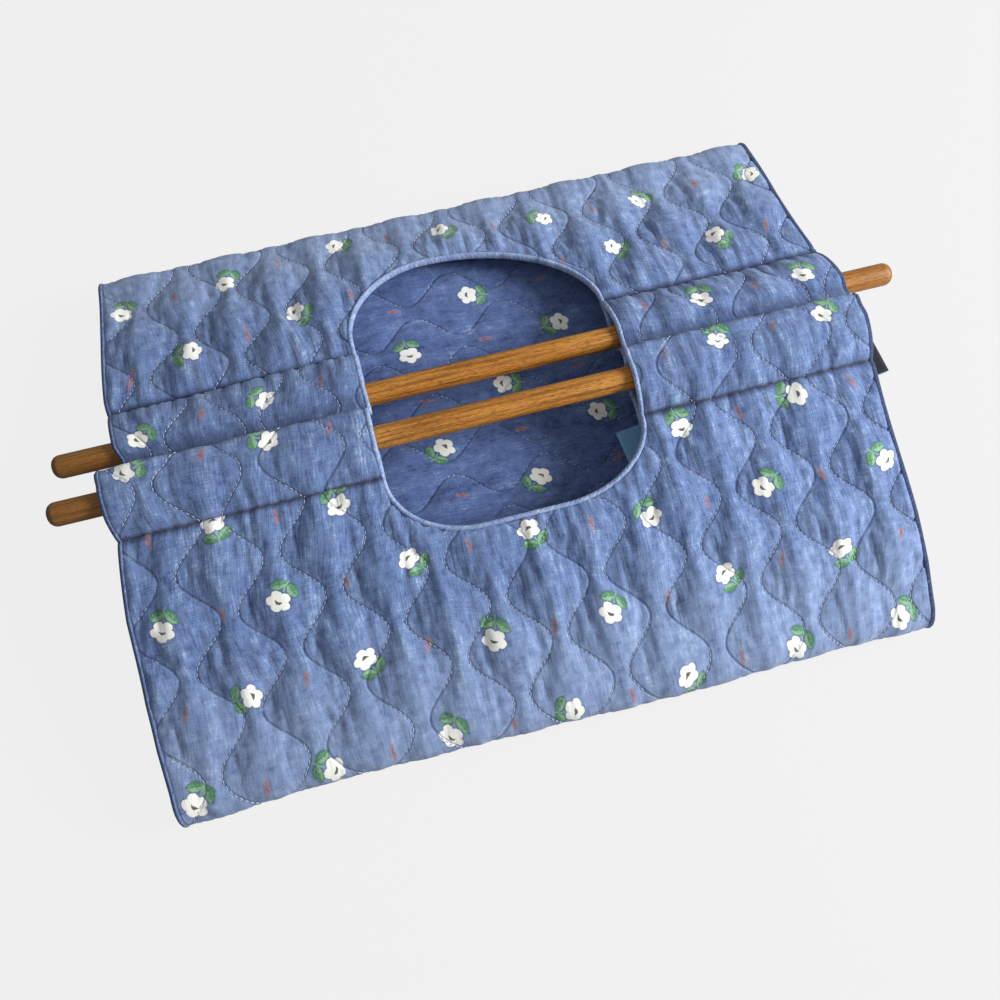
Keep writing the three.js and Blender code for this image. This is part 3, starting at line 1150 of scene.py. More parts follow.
@dataclass(frozen=True)
class Opening:
    """Half of the hand opening, as it is cut into a handle flap."""

    left: float
    right: float
    floor: float
    straight_from: tuple[float, float]
    level: tuple[float, float]
    end: float

    def edge(self, step: float = 2.0) -> np.ndarray:
        """Walks the cut edge from its left end, round the floor, to its right end.

        Args:
            step: About how far apart the points are.

        Returns:
            Points across and along.
        """
        quarter = np.linspace(0, math.pi / 2, 25)[1:]
        spans = (self.level[0] - self.left, self.right - self.level[1])
        rises = tuple(top - self.floor for top in self.straight_from)
        rows = [
            np.array([[self.left, self.end], [self.left, self.straight_from[0]]]),
            np.stack((
                self.level[0] - spans[0] * np.cos(quarter),
                self.floor + rises[0] * (1 - np.sin(quarter)),
            ), axis=1),
            np.stack((
                self.level[1] + spans[1] * np.sin(quarter),
                self.floor + rises[1] * (1 - np.cos(quarter)),
            ), axis=1),
            np.array([[self.right, self.end]]),
        ]
        corners = np.concatenate(rows)
        run = np.concatenate(([0], np.cumsum(np.hypot(*np.diff(corners, axis=0).T))))
        even = np.linspace(0, run[-1], round(run[-1] / step) + 1)
        return np.stack([np.interp(even, run, corners[:, axis]) for axis in (0, 1)], axis=1)

    def away(self, across: np.ndarray, along: np.ndarray) -> np.ndarray:
        """Gives how far places are from the cut edge.

        Args:
            across: Places across.
            along: Places along.

        Returns:
            The distances, below zero inside the opening.
        """
        edge = self.edge(1.0)
        nearest = np.full(across.shape, np.inf)
        for x, y in edge:
            np.minimum(nearest, (across - x) ** 2 + (along - y) ** 2, out=nearest)
        limit_left = self.reach(along, self.level[0], self.left, self.straight_from[0])
        limit_right = self.reach(along, self.level[1], self.right, self.straight_from[1])
        inside = (along > self.floor) & (across > limit_left) & (across < limit_right)
        return np.where(inside, -1, 1) * np.sqrt(nearest)

    def reach(self, along: np.ndarray, level: float, side: float, top: float) -> np.ndarray:
        """Gives how far the opening reaches to one side.

        Args:
            along: Places along.
            level: Where that side's curve meets the floor.
            side: Where the straight side lies.
            top: Where the curve meets the straight side.

        Returns:
            The side's place across, at each place along.
        """
        share = np.clip((top - along) / (top - self.floor), 0, 1)
        return level + (side - level) * np.sqrt(1 - share * share)


@dataclass
class HandlePanelHalf:
    """Half of the handle panel: from the middle of the base, round its fold and along its flap."""

    name: str
    side: int
    slope: float
    reach: float
    opening_left: float
    opening_right: float
    opening_drop: float
    opening_level: tuple[float, float]
    opening_straight: tuple[float, float]
    strays: tuple[tuple[float, float, float, float], ...]
    hem_depth: float = 37.5
    half_width: float = 203.0
    wall: float = 3.6
    lip_radius: float = 5.0
    fold_radius: float = 11.0
    hidden_share: float = 322 / 349
    grain: float = 2.0
    pieces: list = field(default_factory=list)

    def __post_init__(self) -> None:
        """Takes the hinge and the dowel from the CAD model and lays out the cloth's line."""
        joint = next(j for j in frame["joints"] if j["name"] == f"{self.name}_flap_hinge")
        hinge = [value / MM for value in joint["pos_m"]]
        self.hinge = (abs(hinge[1]), hinge[2])
        low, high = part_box(f"{self.name}_dowel")
        middle = (low + high) / 2 / MM
        out, up = self.hinge[0] - self.side * middle.y, middle.z - self.hinge[1]
        cosine, sine = math.cos(self.slope), math.sin(self.slope)
        self.dowel = (out * cosine + up * sine, up * cosine - out * sine)
        self.stitch = self.reach - self.hem_depth
        self.fold = self.lay_out()
        marks = self.fold.marks
        self.opening = Opening(
            left=self.opening_left,
            right=self.opening_right,
            floor=marks["stitch"] - self.opening_drop,
            straight_from=tuple(marks["stitch"] - drop for drop in self.opening_straight),
            level=self.opening_level,
            end=self.fold.length,
        )

    def lay_out(self) -> Fold:
        """Draws the line of the cloth's middle: base, fold, flap, sleeve and turned-under hem.

        Returns:
            The line.
        """
        cosine, sine = math.cos(self.slope), math.sin(self.slope)

        def flap(run: float, height: float) -> tuple[float, float]:
            """Turns a place on the flap into distance out and height."""
            return (
                self.hinge[0] - run * cosine + height * sine,
                self.hinge[1] + run * sine + height * cosine,
            )

        def bend(*corners: tuple[float, float]) -> np.ndarray:
            """Gives a curve between places on the flap."""
            return curve(*(flap(*corner) for corner in corners))

        at, high = self.dowel
        around = 6.35 + 0.4 + self.wall / 2
        lip, small = self.reach - self.lip_radius, self.lip_radius - self.wall / 2
        shoulder, slide = (at - self.stitch) / 2, (lip - at) / 2
        mid, start, stitch = self.fold_radius, self.stitch - 8, self.stitch
        crest, trough = high + around, high - around
        upper, lower = mid + small, mid - small
        base = straight((0, 2.5), (self.hinge[0], 2.5), 60)
        turn = arc(self.hinge, mid, -math.pi / 2, math.pi / 2 - self.slope, 48)
        face = straight(flap(0, mid), flap(start, mid), 60)
        over = [
            bend((start, mid), (start + 4, mid), (stitch - 3, 10.4), (stitch, 8.8)),
            bend((stitch, 8.8), (stitch + 3, 13), (at - shoulder, crest), (at, crest)),
            bend((at, crest), (at + slide, crest), (lip - slide, upper), (lip, upper)),
        ]
        round_lip = np.array([
            flap(lip + small * math.sin(angle), mid + small * math.cos(angle))
            for angle in np.linspace(0, math.pi, 17)[1:]
        ])
        under = [
            bend((lip, lower), (lip - slide, lower), (at + slide, trough), (at, trough)),
            bend((at, trough), (at - shoulder, trough), (stitch + shoulder, 6.4), (stitch, 6.4)),
            straight(flap(stitch, 6.4), flap(stitch - 6, 6.8)),
        ]
        rows = [np.array([[0.0, 2.5]]), base, turn, face, *over, round_lip, *under]
        ends = np.cumsum([len(row) for row in rows]) - 1
        names = "middle hinge flap start stitch dowel lip lip_under dowel_under hem".split()
        return Fold(np.concatenate(rows), dict(zip(names, ends.tolist())))

    def measure(self, along: np.ndarray) -> np.ndarray:
        """Turns a place along this half into the whole panel's own measure, from front to back.

        Args:
            along: Distance along the cloth from the middle of the base.

        Returns:
            The print's measure, which runs on from one half to the other.
        """
        flap = self.fold.marks["flap"]
        shown = np.maximum(along - flap, 0)
        hidden = (np.minimum(along, flap) - flap) * self.hidden_share
        return 322 + shown + hidden if self.side > 0 else -shown - hidden

    def skin(self, across: np.ndarray, along: np.ndarray, outer: np.ndarray) -> np.ndarray:
        """Gives the height of the quilt's two faces above the cloth's middle.

        Args:
            across: Places across.
            along: Places along.
            outer: Which places are on the printed face.

        Returns:
            The height, below zero for the lining.
        """
        marks = self.fold.marks
        stops = [0, *(marks[name] for name in ("hinge", "flap", "start", "dowel", "hem")), self.fold.length]
        crown = np.where(
            outer,
            np.interp(along, stops, [2.5, 2.6, 3.1, 3.1, 2.1, 1.5, 1.2]),
            np.interp(along, stops, [2.5, 2.5, 2.5, 2.4, 1.7, 1.2, 1.0]),
        )
        valley = np.interp(along, stops, [1.0, 1.6, 1.3, 1.0, 1.2, 1.0, 0.8])
        gap = Quilting().gap(across + QUILT_SHIFT[0], self.measure(along) + QUILT_SHIFT[1])
        puff = (1 - np.exp(-gap / 3.2)) * (0.84 + 0.16 * np.minimum(gap / 18, 1))
        edge = np.minimum(self.half_width - 5 - np.abs(across), self.opening.away(across, along) - 5)
        puff = puff * (0.15 + 0.85 * ease(edge, -2, 8))
        sewn = np.exp(-(((along - marks["stitch"]) / 3.0) ** 2))
        puff = puff * (1 - sewn)
        height = valley + (crown - valley) * puff
        return np.where(outer, height + self.creases(across, along), -np.maximum(height, 0.6))

    def creases(self, across: np.ndarray, along: np.ndarray) -> np.ndarray:
        """Gives the height of the small creases, which are deepest round the opening.

        Args:
            across: Place across.
            along: Place along.

        Returns:
            The height, of either sign.
        """
        marks = self.fold.marks
        near = np.exp(-(np.maximum(self.opening.away(across, along), 0) / 22) ** 2)
        shown = ease(along, marks["flap"] - 6, marks["flap"] + 24)
        shown = shown * (1 - 0.5 * ease(along, marks["stitch"] - 8, marks["stitch"] + 4))
        gap = Quilting().gap(across + QUILT_SHIFT[0], self.measure(along) + QUILT_SHIFT[1])
        free = (1 - np.exp(-gap / 2.5)) * (1 - np.exp(-(((along - marks["stitch"]) / 3.0) ** 2)))
        fine = Ripple(5 + self.side, (5.0, 11.0)).height(across, along)
        return fine * (0.2 - 0.08 * self.side + 0.5 * near) * shown * free

    def drift(self, across: np.ndarray, along: np.ndarray) -> tuple[np.ndarray, np.ndarray, np.ndarray]:
        """Gives how the worn cloth strays from its straight cut.

        Args:
            across: Place across.
            along: Place along.

        Returns:
            The place across, a lift of the whole flap and a bulge of its bend.
        """
        marks = self.fold.marks
        run = along - marks["flap"]
        flap = ease(run, 0, 30) * (1 - ease(along, marks["stitch"] - 6, marks["dowel"]))
        lift = flap * 1.1 * (np.sin(across / 47 + 1.3) * np.sin(run / 34 + 0.4) + 1)
        wander = 0.8 * np.sin(run / 19 + self.side) * np.abs(across) / self.half_width * ease(run, -30, 0)
        bulge = np.zeros_like(run)
        if self.side > 0:
            lean = np.interp(run, [-110, -50, 0, 40, 110, 130], [0, -8, -8, -5, 2, 3])
            wander = wander + lean * np.clip(across / self.half_width, 0, 1)
            tuck = np.interp(run, [80, 118, 127], [0, 3, 6])
            wander = wander + tuck * np.clip(-across / self.half_width, 0, 1) ** 2
            lift = lift + 4.0 * flap * np.exp(-((across + 60) / 80) ** 2)
        else:
            spots = [-40, 5, 25, 47, 68, 90, 130, 145, 168, 190, 206]
            lean = np.interp(run, spots, [0, 2, 4, 5, 4.5, 4, 0, 3, 5, 3, 0])
            wander = wander - lean * np.clip(-across / self.half_width, 0, 1) ** 2
            bulge = np.interp(across, [-190, -130, -10, 60, 140, 200], [4.5, 1.5, 3, 4.5, 2.5, 3.5])
            bulge = bulge * np.exp(-((run + 15) / 30) ** 2)
            tuck = np.interp(run, [-70, -25, -5, 20, 45], [0, 5, 4, 1, 0])
            wander = wander - tuck * np.clip(across / self.half_width, 0, 1) ** 3
        return across + wander, lift, bulge

    def lay(self, flat: np.ndarray, raised: np.ndarray | None = None) -> np.ndarray:
        """Lays flat places of the cloth along its line.

        Args:
            flat: Places in the flat cloth.
            raised: Heights that take the place of the flat ones.

        Returns:
            Places in the carrier's frame, in millimetres.
        """
        height = flat[:, 2] if raised is None else raised
        across, lift, bulge = self.drift(flat[:, 0], flat[:, 1])
        out, up = self.fold.at(flat[:, 1], height + lift)
        return np.stack((across, self.side * (out + bulge), up), axis=1)

    def charts(self, piece: bpy.types.Object, flat: np.ndarray, roll: np.ndarray | None = None) -> None:
        """Gives a piece the cloth's print and quilting measures.

        Args:
            piece: The piece.
            flat: Its vertices' flat places.
            roll: A rolled edge's own measures, which take the place of the quilting's.
        """
        across, along = flat[:, 0], self.measure(flat[:, 1])
        printed = np.stack((across, along - 4), axis=1)
        if self.side > 0:
            run = flat[:, 1] - self.fold.marks["flap"]
            slip = 14 * np.exp(-((across + 72) / 52) ** 2) * ease(run, -30, 5) * (1 - ease(run, 62, 100))
            printed[:, 1] += slip
        printed -= self.stray(flat) * (1, self.side)
        if roll is not None:
            printed = np.stack((across + along + 21, across - along), axis=1) * math.sqrt(0.5)
        chart(piece, "Print", printed)
        quilted = np.stack((across, along), axis=1) + QUILT_SHIFT
        chart(piece, "Quilting", quilted if roll is None else roll)
        if roll is None:
            chart(piece, "Leaves", Sprig().headings(printed, 14))

    def stray(self, flat: np.ndarray) -> np.ndarray:
        """Gives how far the print lies off its even repeat.

        Args:
            flat: Places in the flat cloth.

        Returns:
            How far to the right and how far towards the lip, for each place.
        """
        run = flat[:, 1] - self.fold.marks["flap"]
        total, weight = np.zeros((len(flat), 2)), np.full(len(flat), 0.25)
        for across, along, aside, ahead in self.strays:
            share = np.exp(-(((flat[:, 0] - across) / 30) ** 2) - ((run - along) / 26) ** 2)
            total += share[:, None] * (aside, ahead)
            weight += share
        return total / weight[:, None]

    def wear(self, piece: bpy.types.Object) -> bpy.types.Object:
        """Bakes a piece's place into its mesh and keeps it among the half's pieces.

        Args:
            piece: The piece.

        Returns:
            The same piece.
        """
        y = self.side * self.hinge[0] * MM
        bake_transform(piece)
        self.pieces.append(piece)
        return piece

    def build_cloth(self) -> bpy.types.Object:
        """Cuts, quilts and folds the cloth.

        Returns:
            The cloth.
        """
        marks = self.fold.marks
        width = self.half_width - 1.8
        spans = [(0, marks["hinge"], 4.0), (marks["hinge"], marks["stitch"], self.grain)]
        spans.append((marks["stitch"], self.fold.length, self.grain))
        rows = [np.linspace(low, high, round((high - low) / step) + 1)[:-1] for low, high, step in spans]
        columns = np.linspace(-width, width, round(2 * width / self.grain) + 1)
        grid = QuiltGrid(columns, np.concatenate((*rows, [self.fold.length])))
        measure = self.measure(grid.rows)
        reach = int(self.half_width / Quilting.pitch) + 1
        for index in range(-reach, reach + 2):
            grid.draw_line(Quilting().line(index, measure + QUILT_SHIFT[1]) - QUILT_SHIFT[0])
        mesh = grid.cut(self.opening.away, 1.8)
        self.settle(grid)
        flat, shift, outer = grid.read(mesh)
        height = self.skin(flat[:, 0], flat[:, 1], outer)
        moved = flat
        share = ease(flat[:, 1], marks["hinge"], marks["hinge"] + 10) * outer
        share = share * (1 - ease(flat[:, 1], marks["lip"], marks["lip"] + 14))
        spots = [marks[name] for name in ("hinge", "flap", "flap", "stitch", "dowel", "lip")]
        spots[2] += 30
        relief = np.interp(flat[:, 1], spots, (0.2, 0.5, 1.15, 1.15, 0.55, 0.3))
        relief = relief * (1 - np.exp(-(((flat[:, 1] - marks["stitch"]) / 3.2) ** 2)))
        settled = np.maximum(1.0 + shift[:, 2] * relief + self.creases(flat[:, 0], flat[:, 1]), 0.3)
        height = height + (settled - height) * share
        moved = flat + shift * share[:, None]
        places = self.lay(moved, height)
        piece = finish_cloth(f"{self.name}_handle_cloth", mesh, places, outer, Finish.CALICO)
        self.charts(piece, flat)
        nodes = ("fold", "flap_panel", "sleeve_left", "sleeve_right")
        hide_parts(*(f"{self.name}_{node}" for node in nodes))
        return self.wear(piece)

    def settle(self, grid: QuiltGrid) -> None:
        """Lets the printed face settle where the flap shows it.

        Args:
            grid: The cloth's grid.
        """
        marks = self.fold.marks
        first = int(np.searchsorted(grid.rows, marks["hinge"] - 1))
        last = int(np.searchsorted(grid.rows, marks["lip"] + 16))
        edge = self.half_width - np.abs(grid.across)
        held = np.minimum(edge, self.opening.away(grid.across, grid.along)) < 3
        held |= np.abs(grid.along - marks["stitch"]) < 0.5
        grid.settle(first, last, held, Gathered())

    def build_edging(self) -> None:
        """Rolls the edging along both sides and round the opening."""
        step = 2.5
        ends = np.linspace(0, self.fold.length, round(self.fold.length / step) + 1)
        for label, side in (("left", -1), ("right", 1)):
            middle = side * (self.half_width - ROLL_INSET)
            route = np.stack((np.full_like(ends, middle), ends), axis=1)
            section = ROLL * (side, 1)
            node = f"{self.name}_binding_{label}"
            self.edge_piece(f"{self.name}_side_edging_{label}", route, section, node)
        route = self.opening.edge(2.2)
        heading = np.gradient(route, axis=0)
        heading /= np.hypot(*heading.T)[:, None]
        route = route + np.stack((heading[:, 1], -heading[:, 0]), axis=1) * ROLL_INSET
        self.edge_piece(f"{self.name}_opening_edging", route, ROLL * (-1, 1), f"{self.name}_cutout_binding")

    def edge_piece(self, name: str, route: np.ndarray, section: np.ndarray, node: str) -> None:
        """Makes one strip of edging.

        Args:
            name: The piece's name.
            route: Its middle line in the flat cloth.
            section: Its section.
            node: The CAD node that it stands for.
        """
        mesh, charts = strip(route, section)
        flat = flat_places(mesh)
        marks = self.fold.marks
        thin = np.interp(
            flat[:, 1],
            [0, *(marks[name] for name in ("hinge", "flap", "start", "stitch", "dowel")), self.fold.length],
            [0.84, 0.86, 1.0, 1.0, 0.8, 0.72, 0.6],
        )
        piece = finish_mesh(name, mesh, self.lay(flat, flat[:, 2] * thin))
        self.charts(piece, flat, charts)
        finish = Finish.SIDE_EDGING if "side" in name else Finish.EDGING
        piece.data.materials.append(finish.material())
        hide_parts(node)
        LOG.info("%s", name)
        self.wear(piece)

    def build_thread(self) -> None:
        """Sews the quilting thread into the valleys of the printed face."""
        mesh = bmesh.new()
        along = np.arange(0, self.fold.length - 6, 0.5)
        measure = self.measure(along)
        reach = int(self.half_width / Quilting.pitch) + 1
        for index in range(-reach, reach + 2):
            across = Quilting().line(index, measure + QUILT_SHIFT[1]) - QUILT_SHIFT[0]

            def clear(x: np.ndarray, y: np.ndarray) -> np.ndarray:
                """Keeps thread off the edges and the seam, and sinks it in places."""
                inside = np.minimum(self.half_width - np.abs(x), self.opening.away(x, y)) > 6
                sunk = np.sin(y / 8.5 + index * 2.3) + 0.6 * np.sin(y / 23 + index) <= -0.55
                return inside & (np.abs(y - self.fold.marks["stitch"]) > 1.5) & ~sunk

            sew(mesh, across, along, clear)
        flat = flat_places(mesh)
        piece = finish_mesh(f"{self.name}_quilting_thread", mesh, self.lay(flat, flat[:, 2] + 1.35))
        piece.data.materials.append(Finish.THREAD.material())
        LOG.info("%s: %d faces", piece.name, len(piece.data.polygons))
        self.wear(piece)

    def build(self) -> None:
        """Builds the whole half: its cloth, edging and thread."""
        cloth = self.build_cloth()
        self.build_edging()
        self.build_thread()
        area = 2 * self.half_width * self.fold.length
        area -= (self.fold.length - self.opening.floor) * (self.opening.right - self.opening.left) * 0.95
        area * MM * MM


# The dowels


@dataclass(frozen=True)
class Dowel:
    """A round wood dowel with rounded ends."""

    name: str
    end_radius: float = 4.6

    def build(self) -> bpy.types.Object:
        """Turns the dowel from half of its outline.

        Returns:
            The dowel.
        """
        low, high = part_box(self.name)
        radius = (high.z - low.z) / 2
        centre = (low + high) / 2
        soft = self.end_radius * MM
        mesh = bmesh.new()
        quarter = [(1 - math.cos(turn), 1 - math.sin(turn)) for turn in np.linspace(0, math.pi / 2, 9)]
        outline = [(low.x, 0.0), *((low.x + soft * out, radius - soft * down) for out, down in quarter)]
        outline += [(x, radius) for x in np.linspace(low.x + soft, high.x - soft, 60)[1:-1]]
        outline += [(high.x - soft * out, radius - soft * down) for out, down in reversed(quarter)]
        outline.append((high.x, 0.0))
        points = [mesh.verts.new((x, centre.y, centre.z + up)) for x, up in outline]
        edges = [mesh.edges.new(pair) for pair in zip(points, points[1:])]
        bmesh.ops.spin(
            mesh,
            geom=[*points, *edges],
            cent=centre,
            axis=(1, 0, 0),
            angle=2 * math.pi,
            steps=40,
            use_merge=True,
        )
        bmesh.ops.remove_doubles(mesh, verts=mesh.verts[:], dist=1e-6)
        bmesh.ops.recalc_face_normals(mesh, faces=mesh.faces[:])
        places = flat_places(mesh) / MM
        piece = finish_mesh(f"{self.name}_turned", mesh, places)
        finish = StainedWood(f"{self.name}_wood", (low.x / MM, high.x / MM))
        piece.data.materials.append(finish.build())
        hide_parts(self.name)
        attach(piece, self.name.replace("dowel", "handle"))
        LOG.info("%s: %.0f mm", piece.name, (high.x - low.x) / MM)
        return piece


# The wrap panel


@dataclass
class WrapPanel:
    """The cloth that lies across the base and folds over it from the left and from the right."""

    half_depth: float = 130.0
    flap_length: float = 290.0
    corner: float = 14.0
    grain: float = 2.5
    pieces: list = field(default_factory=list)

    def __post_init__(self) -> None:
        """Takes the layers' heights from the CAD model and lays out the cloth's line."""
        layer = {name: (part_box(name)[0].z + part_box(name)[1].z) / 2 / MM for name in (
            "wrap_base_panel", "left_wrap_flap", "right_wrap_flap",
        )}
        base, left, right = layer.values()
        turn_left, turn_right = (left - base) / 2, (right - base) / 2
        rows = [
            np.array([[self.flap_length - 203, left]]),
            straight((self.flap_length - 203, left), (-203 + 3, left), 60),
            arc((-203 + 3, base + turn_left), turn_left, math.pi / 2, 3 * math.pi / 2),
            straight((-203 + 3, base), (203, base), 60),
            arc((203, base + turn_right), turn_right, -math.pi / 2, math.pi / 2),
            straight((203, right), (203 - self.flap_length, right), 60),
        ]
        ends = np.cumsum([len(row) for row in rows]) - 1
        self.fold = Fold(np.concatenate(rows), {
            "left_fold": int(ends[1]), "base": int(ends[2]), "right_fold": int(ends[3]), "top": int(ends[4]),
        })

    def edge_away(self, across: np.ndarray, along: np.ndarray) -> np.ndarray:
        """Gives how far places are inside the rounded outline.

        Args:
            across: Places across.
            along: Places along.

        Returns:
            The distances.
        """
        half = self.fold.length / 2
        dx = np.abs(across) - (self.half_depth - self.corner)
        dy = np.abs(along - half) - (half - self.corner)
        outside = np.hypot(np.maximum(dx, 0), np.maximum(dy, 0))
        return self.corner - outside - np.minimum(np.maximum(dx, dy), 0)

    def measures(self, flat: np.ndarray) -> tuple[np.ndarray, np.ndarray]:
        """Gives the print's and the quilting's measures of flat places.

        Args:
            flat: Places in the flat cloth.

        Returns:
            Print measures and quilting measures.
        """
        across = flat[:, 0]
        x = 203 - (flat[:, 1] - self.fold.marks["top"])
        printed = np.stack(((across - 33) * 1.062, (x - 15 + 0.1 * (across + 5)) * 0.948), axis=1)
        quilted = np.stack(((across - 3) * 1.0545 + 26.15, (x + 4) * 0.971), axis=1)
        return printed, quilted

    def skin(self, flat: np.ndarray, outer: np.ndarray) -> np.ndarray:
        """Gives the height of the quilt's two faces above the cloth's middle.

        Args:
            flat: Places in the flat cloth.
            outer: Which places are on the printed face.

        Returns:
            The height, below zero for the lining.
        """
        _, quilted = self.measures(flat)
        gap = Quilting().gap(quilted[:, 0], quilted[:, 1])
        puff = (1 - np.exp(-gap / 3.2)) * (0.84 + 0.16 * np.minimum(gap / 18, 1))
        puff = puff * (0.15 + 0.85 * ease(self.edge_away(flat[:, 0], flat[:, 1]), 4, 14))
        top = ease(flat[:, 1], self.fold.marks["right_fold"], self.fold.marks["top"])
        crease = Ripple(31, (14.0, 40.0), (30.0, 120.0)).height(flat[:, 1], flat[:, 0]) * 0.3 * top
        height = 1.0 + 1.5 * puff + crease * puff
        return np.where(outer, np.minimum(height, 2.7), -(1.0 + 1.4 * puff))

    def lay(self, flat: np.ndarray, height: np.ndarray) -> np.ndarray:
        """Lays flat places of the cloth along its line.

        Args:
            flat: Places in the flat cloth.
            height: Their heights above its middle.

        Returns:
            Places in the carrier's frame, in millimetres.
        """
        out, up = self.fold.at(flat[:, 1], height)
        out = out - ease(out, 140, 200) * (9 * ease(flat[:, 0], 80, 125) + 5 * ease(-flat[:, 0], 80, 125))
        return np.stack((out, flat[:, 0], up), axis=1)

    def dress(self, piece: bpy.types.Object, flat: np.ndarray, roll: np.ndarray | None = None) -> None:
        """Gives a piece its measures and lets it ride on the base.

        Args:
            piece: The piece.
            flat: Its vertices' flat places.
            roll: A rolled edge's own measures, which take the place of the quilting's.
        """
        printed, quilted = self.measures(flat)
        if roll is not None:
            printed = np.stack((printed.sum(axis=1), printed[:, 0] - printed[:, 1]), axis=1) * math.sqrt(0.5)
            quilted = roll
        else:
            printed = printed + (0, 20 * Sprig.row)
            chart(piece, "Leaves", Sprig().headings(printed, 104))
        chart(piece, "Print", printed)
        chart(piece, "Quilting", quilted)
        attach(piece, "base")
        self.pieces.append(piece)

    def build_cloth(self) -> bpy.types.Object:
        """Cuts, quilts and folds the cloth.

        Returns:
            The cloth.
        """
        width = self.half_depth - 1.8
        length = self.fold.length
        shown = self.fold.marks["right_fold"]
        rows = np.concatenate((
            np.linspace(1.8, shown, round(shown / 4) + 1)[:-1],
            np.linspace(shown, length - 1.8, round((length - shown) / self.grain) + 1),
        ))
        grid = QuiltGrid(np.linspace(-width, width, round(2 * width / self.grain) + 1), rows)
        mesh = grid.cut(self.edge_away, 1.7)
        flat, _, outer = grid.read(mesh)
        places = self.lay(flat, self.skin(flat, outer))
        piece = finish_cloth("wrap_cloth", mesh, places, outer, Finish.SHADED_CALICO)
        self.dress(piece, flat)
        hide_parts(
            "wrap_base_panel", "left_wrap_flap", "left_wrap_fold", "right_wrap_flap", "right_wrap_fold"
        )
        return piece

    def build_edging(self) -> None:
        """Rolls the edging round the whole cloth."""
        half, length = self.half_depth - ROLL_INSET, self.fold.length
        radius = self.corner - ROLL_INSET
        quarter = np.linspace(0, math.pi / 2, 9)
        corners = []
        for number, (x, y) in enumerate((
            (half - radius, length - ROLL_INSET - radius), (radius - half, length - ROLL_INSET - radius),
            (radius - half, ROLL_INSET + radius), (half - radius, ROLL_INSET + radius),
        )):
            turn = quarter + number * math.pi / 2
            corners.append(np.stack((x + radius * np.cos(turn), y + radius * np.sin(turn)), axis=1))
        start = np.array([[half, length / 2]])
        loop = np.concatenate((start, *corners, start))
        run = np.concatenate(([0], np.cumsum(np.hypot(*np.diff(loop, axis=0).T))))
        even = np.linspace(0, run[-1], round(run[-1] / 2.5) + 1)
        route = np.stack([np.interp(even, run, loop[:, axis]) for axis in (0, 1)], axis=1)
        mesh, charts = strip(route, ROLL * (1, 0.86))
        flat = flat_places(mesh)
        piece = finish_mesh("wrap_edging", mesh, self.lay(flat, flat[:, 2]))
        self.dress(piece, flat, charts)
        piece.data.materials.append(Finish.EDGING.material())
        nodes = [f"wrap_base_binding_{end}" for end in ("front", "rear")]
        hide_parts(*nodes, *(f"{side}_wrap_binding" for side in ("left", "right")))
        LOG.info("%s", piece.name)

    def build_thread(self) -> None:
        """Sews the quilting thread into the valleys of the upper flap."""
        mesh = bmesh.new()
        along = np.arange(self.fold.marks["top"], self.fold.length - 6, 0.5)
        x = 203 - (along - self.fold.marks["top"])
        for index in range(-6, 7):
            across = (Quilting().line(index, (x + 4) * 0.971) - 26.15) / 1.0545 + 3
            sew(mesh, across, along, lambda u, v: self.edge_away(u, v) > 7)
        flat = flat_places(mesh)
        piece = finish_mesh("wrap_quilting_thread", mesh, self.lay(flat, flat[:, 2] + 1.12))
        piece.data.materials.append(Finish.THREAD.material())
        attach(piece, "base")
        self.pieces.append(piece)
        LOG.info("%s", piece.name)

    def build(self) -> None:
        """Builds the whole panel: its cloth, edging and thread."""
        cloth = self.build_cloth()
        self.build_edging()
        self.build_thread()


# The closure


@dataclass(frozen=True)
class Closure:
    """The strap with its hook tape, and the loop tape that lies under it."""

    end: tuple[float, float] = (65.0, -23.5)
    turn: float = 6.2
    width: float = 20.0

    def tape(
        self, name: str, node: str, start: float, length: float, finish: Finish
    ) -> bpy.types.Object:
        """Makes one length of tape with rounded edges.

        Args:
            name: The piece's name.
            node: The CAD node that it stands for.
            start: Where it starts along the strap.
            length: How long it is.
            finish: Its finish.

        Returns:
            The tape.
        """
        low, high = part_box(node)
        thick = (high.z - low.z) / MM
        half = self.width / 2
        grid = QuiltGrid(
            np.linspace(start, start + length, round(length / 2) + 1),
            np.linspace(-half, half, 13),
        )
        mesh = grid.cut(lambda across, along: np.ones_like(across), 0.0)
        flat, _, upper = grid.read(mesh)
        ends = np.minimum(flat[:, 0] - start, start + length - flat[:, 0])
        rim = np.minimum(half - np.abs(flat[:, 1]), ends)
        full = thick / 2 * (0.55 + 0.45 * ease(rim, 0, 1.8))
        fold = np.exp(-((rim - 3.2) / 0.7) ** 2) * 0.22
        height = np.where(upper, full - fold, -full) + low.z / MM + thick / 2
        angle = math.radians(self.turn)
        places = np.stack((
            self.end[0] + flat[:, 0] * math.cos(angle) - flat[:, 1] * math.sin(angle),
            self.end[1] + flat[:, 0] * math.sin(angle) + flat[:, 1] * math.cos(angle),
            height,
        ), axis=1)
        piece = finish_mesh(name, mesh, places)
        chart(piece, "Print", flat[:, :2])
        piece.data.materials.append(finish.material())
        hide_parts(node)
        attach(piece, "base")
        LOG.info("%s", name)
        return piece

    def build(self) -> None:
        strap = self.tape("strap_tape", "closure_strap", 0, 159, Finish.STRAP)
        hooks = self.tape("hook_tape", "closure_hook_tape", 117, 42, Finish.HOOK)
        loops = self.tape("loop_tape", "closure_loop_tape", 8, 52, Finish.STRAP)


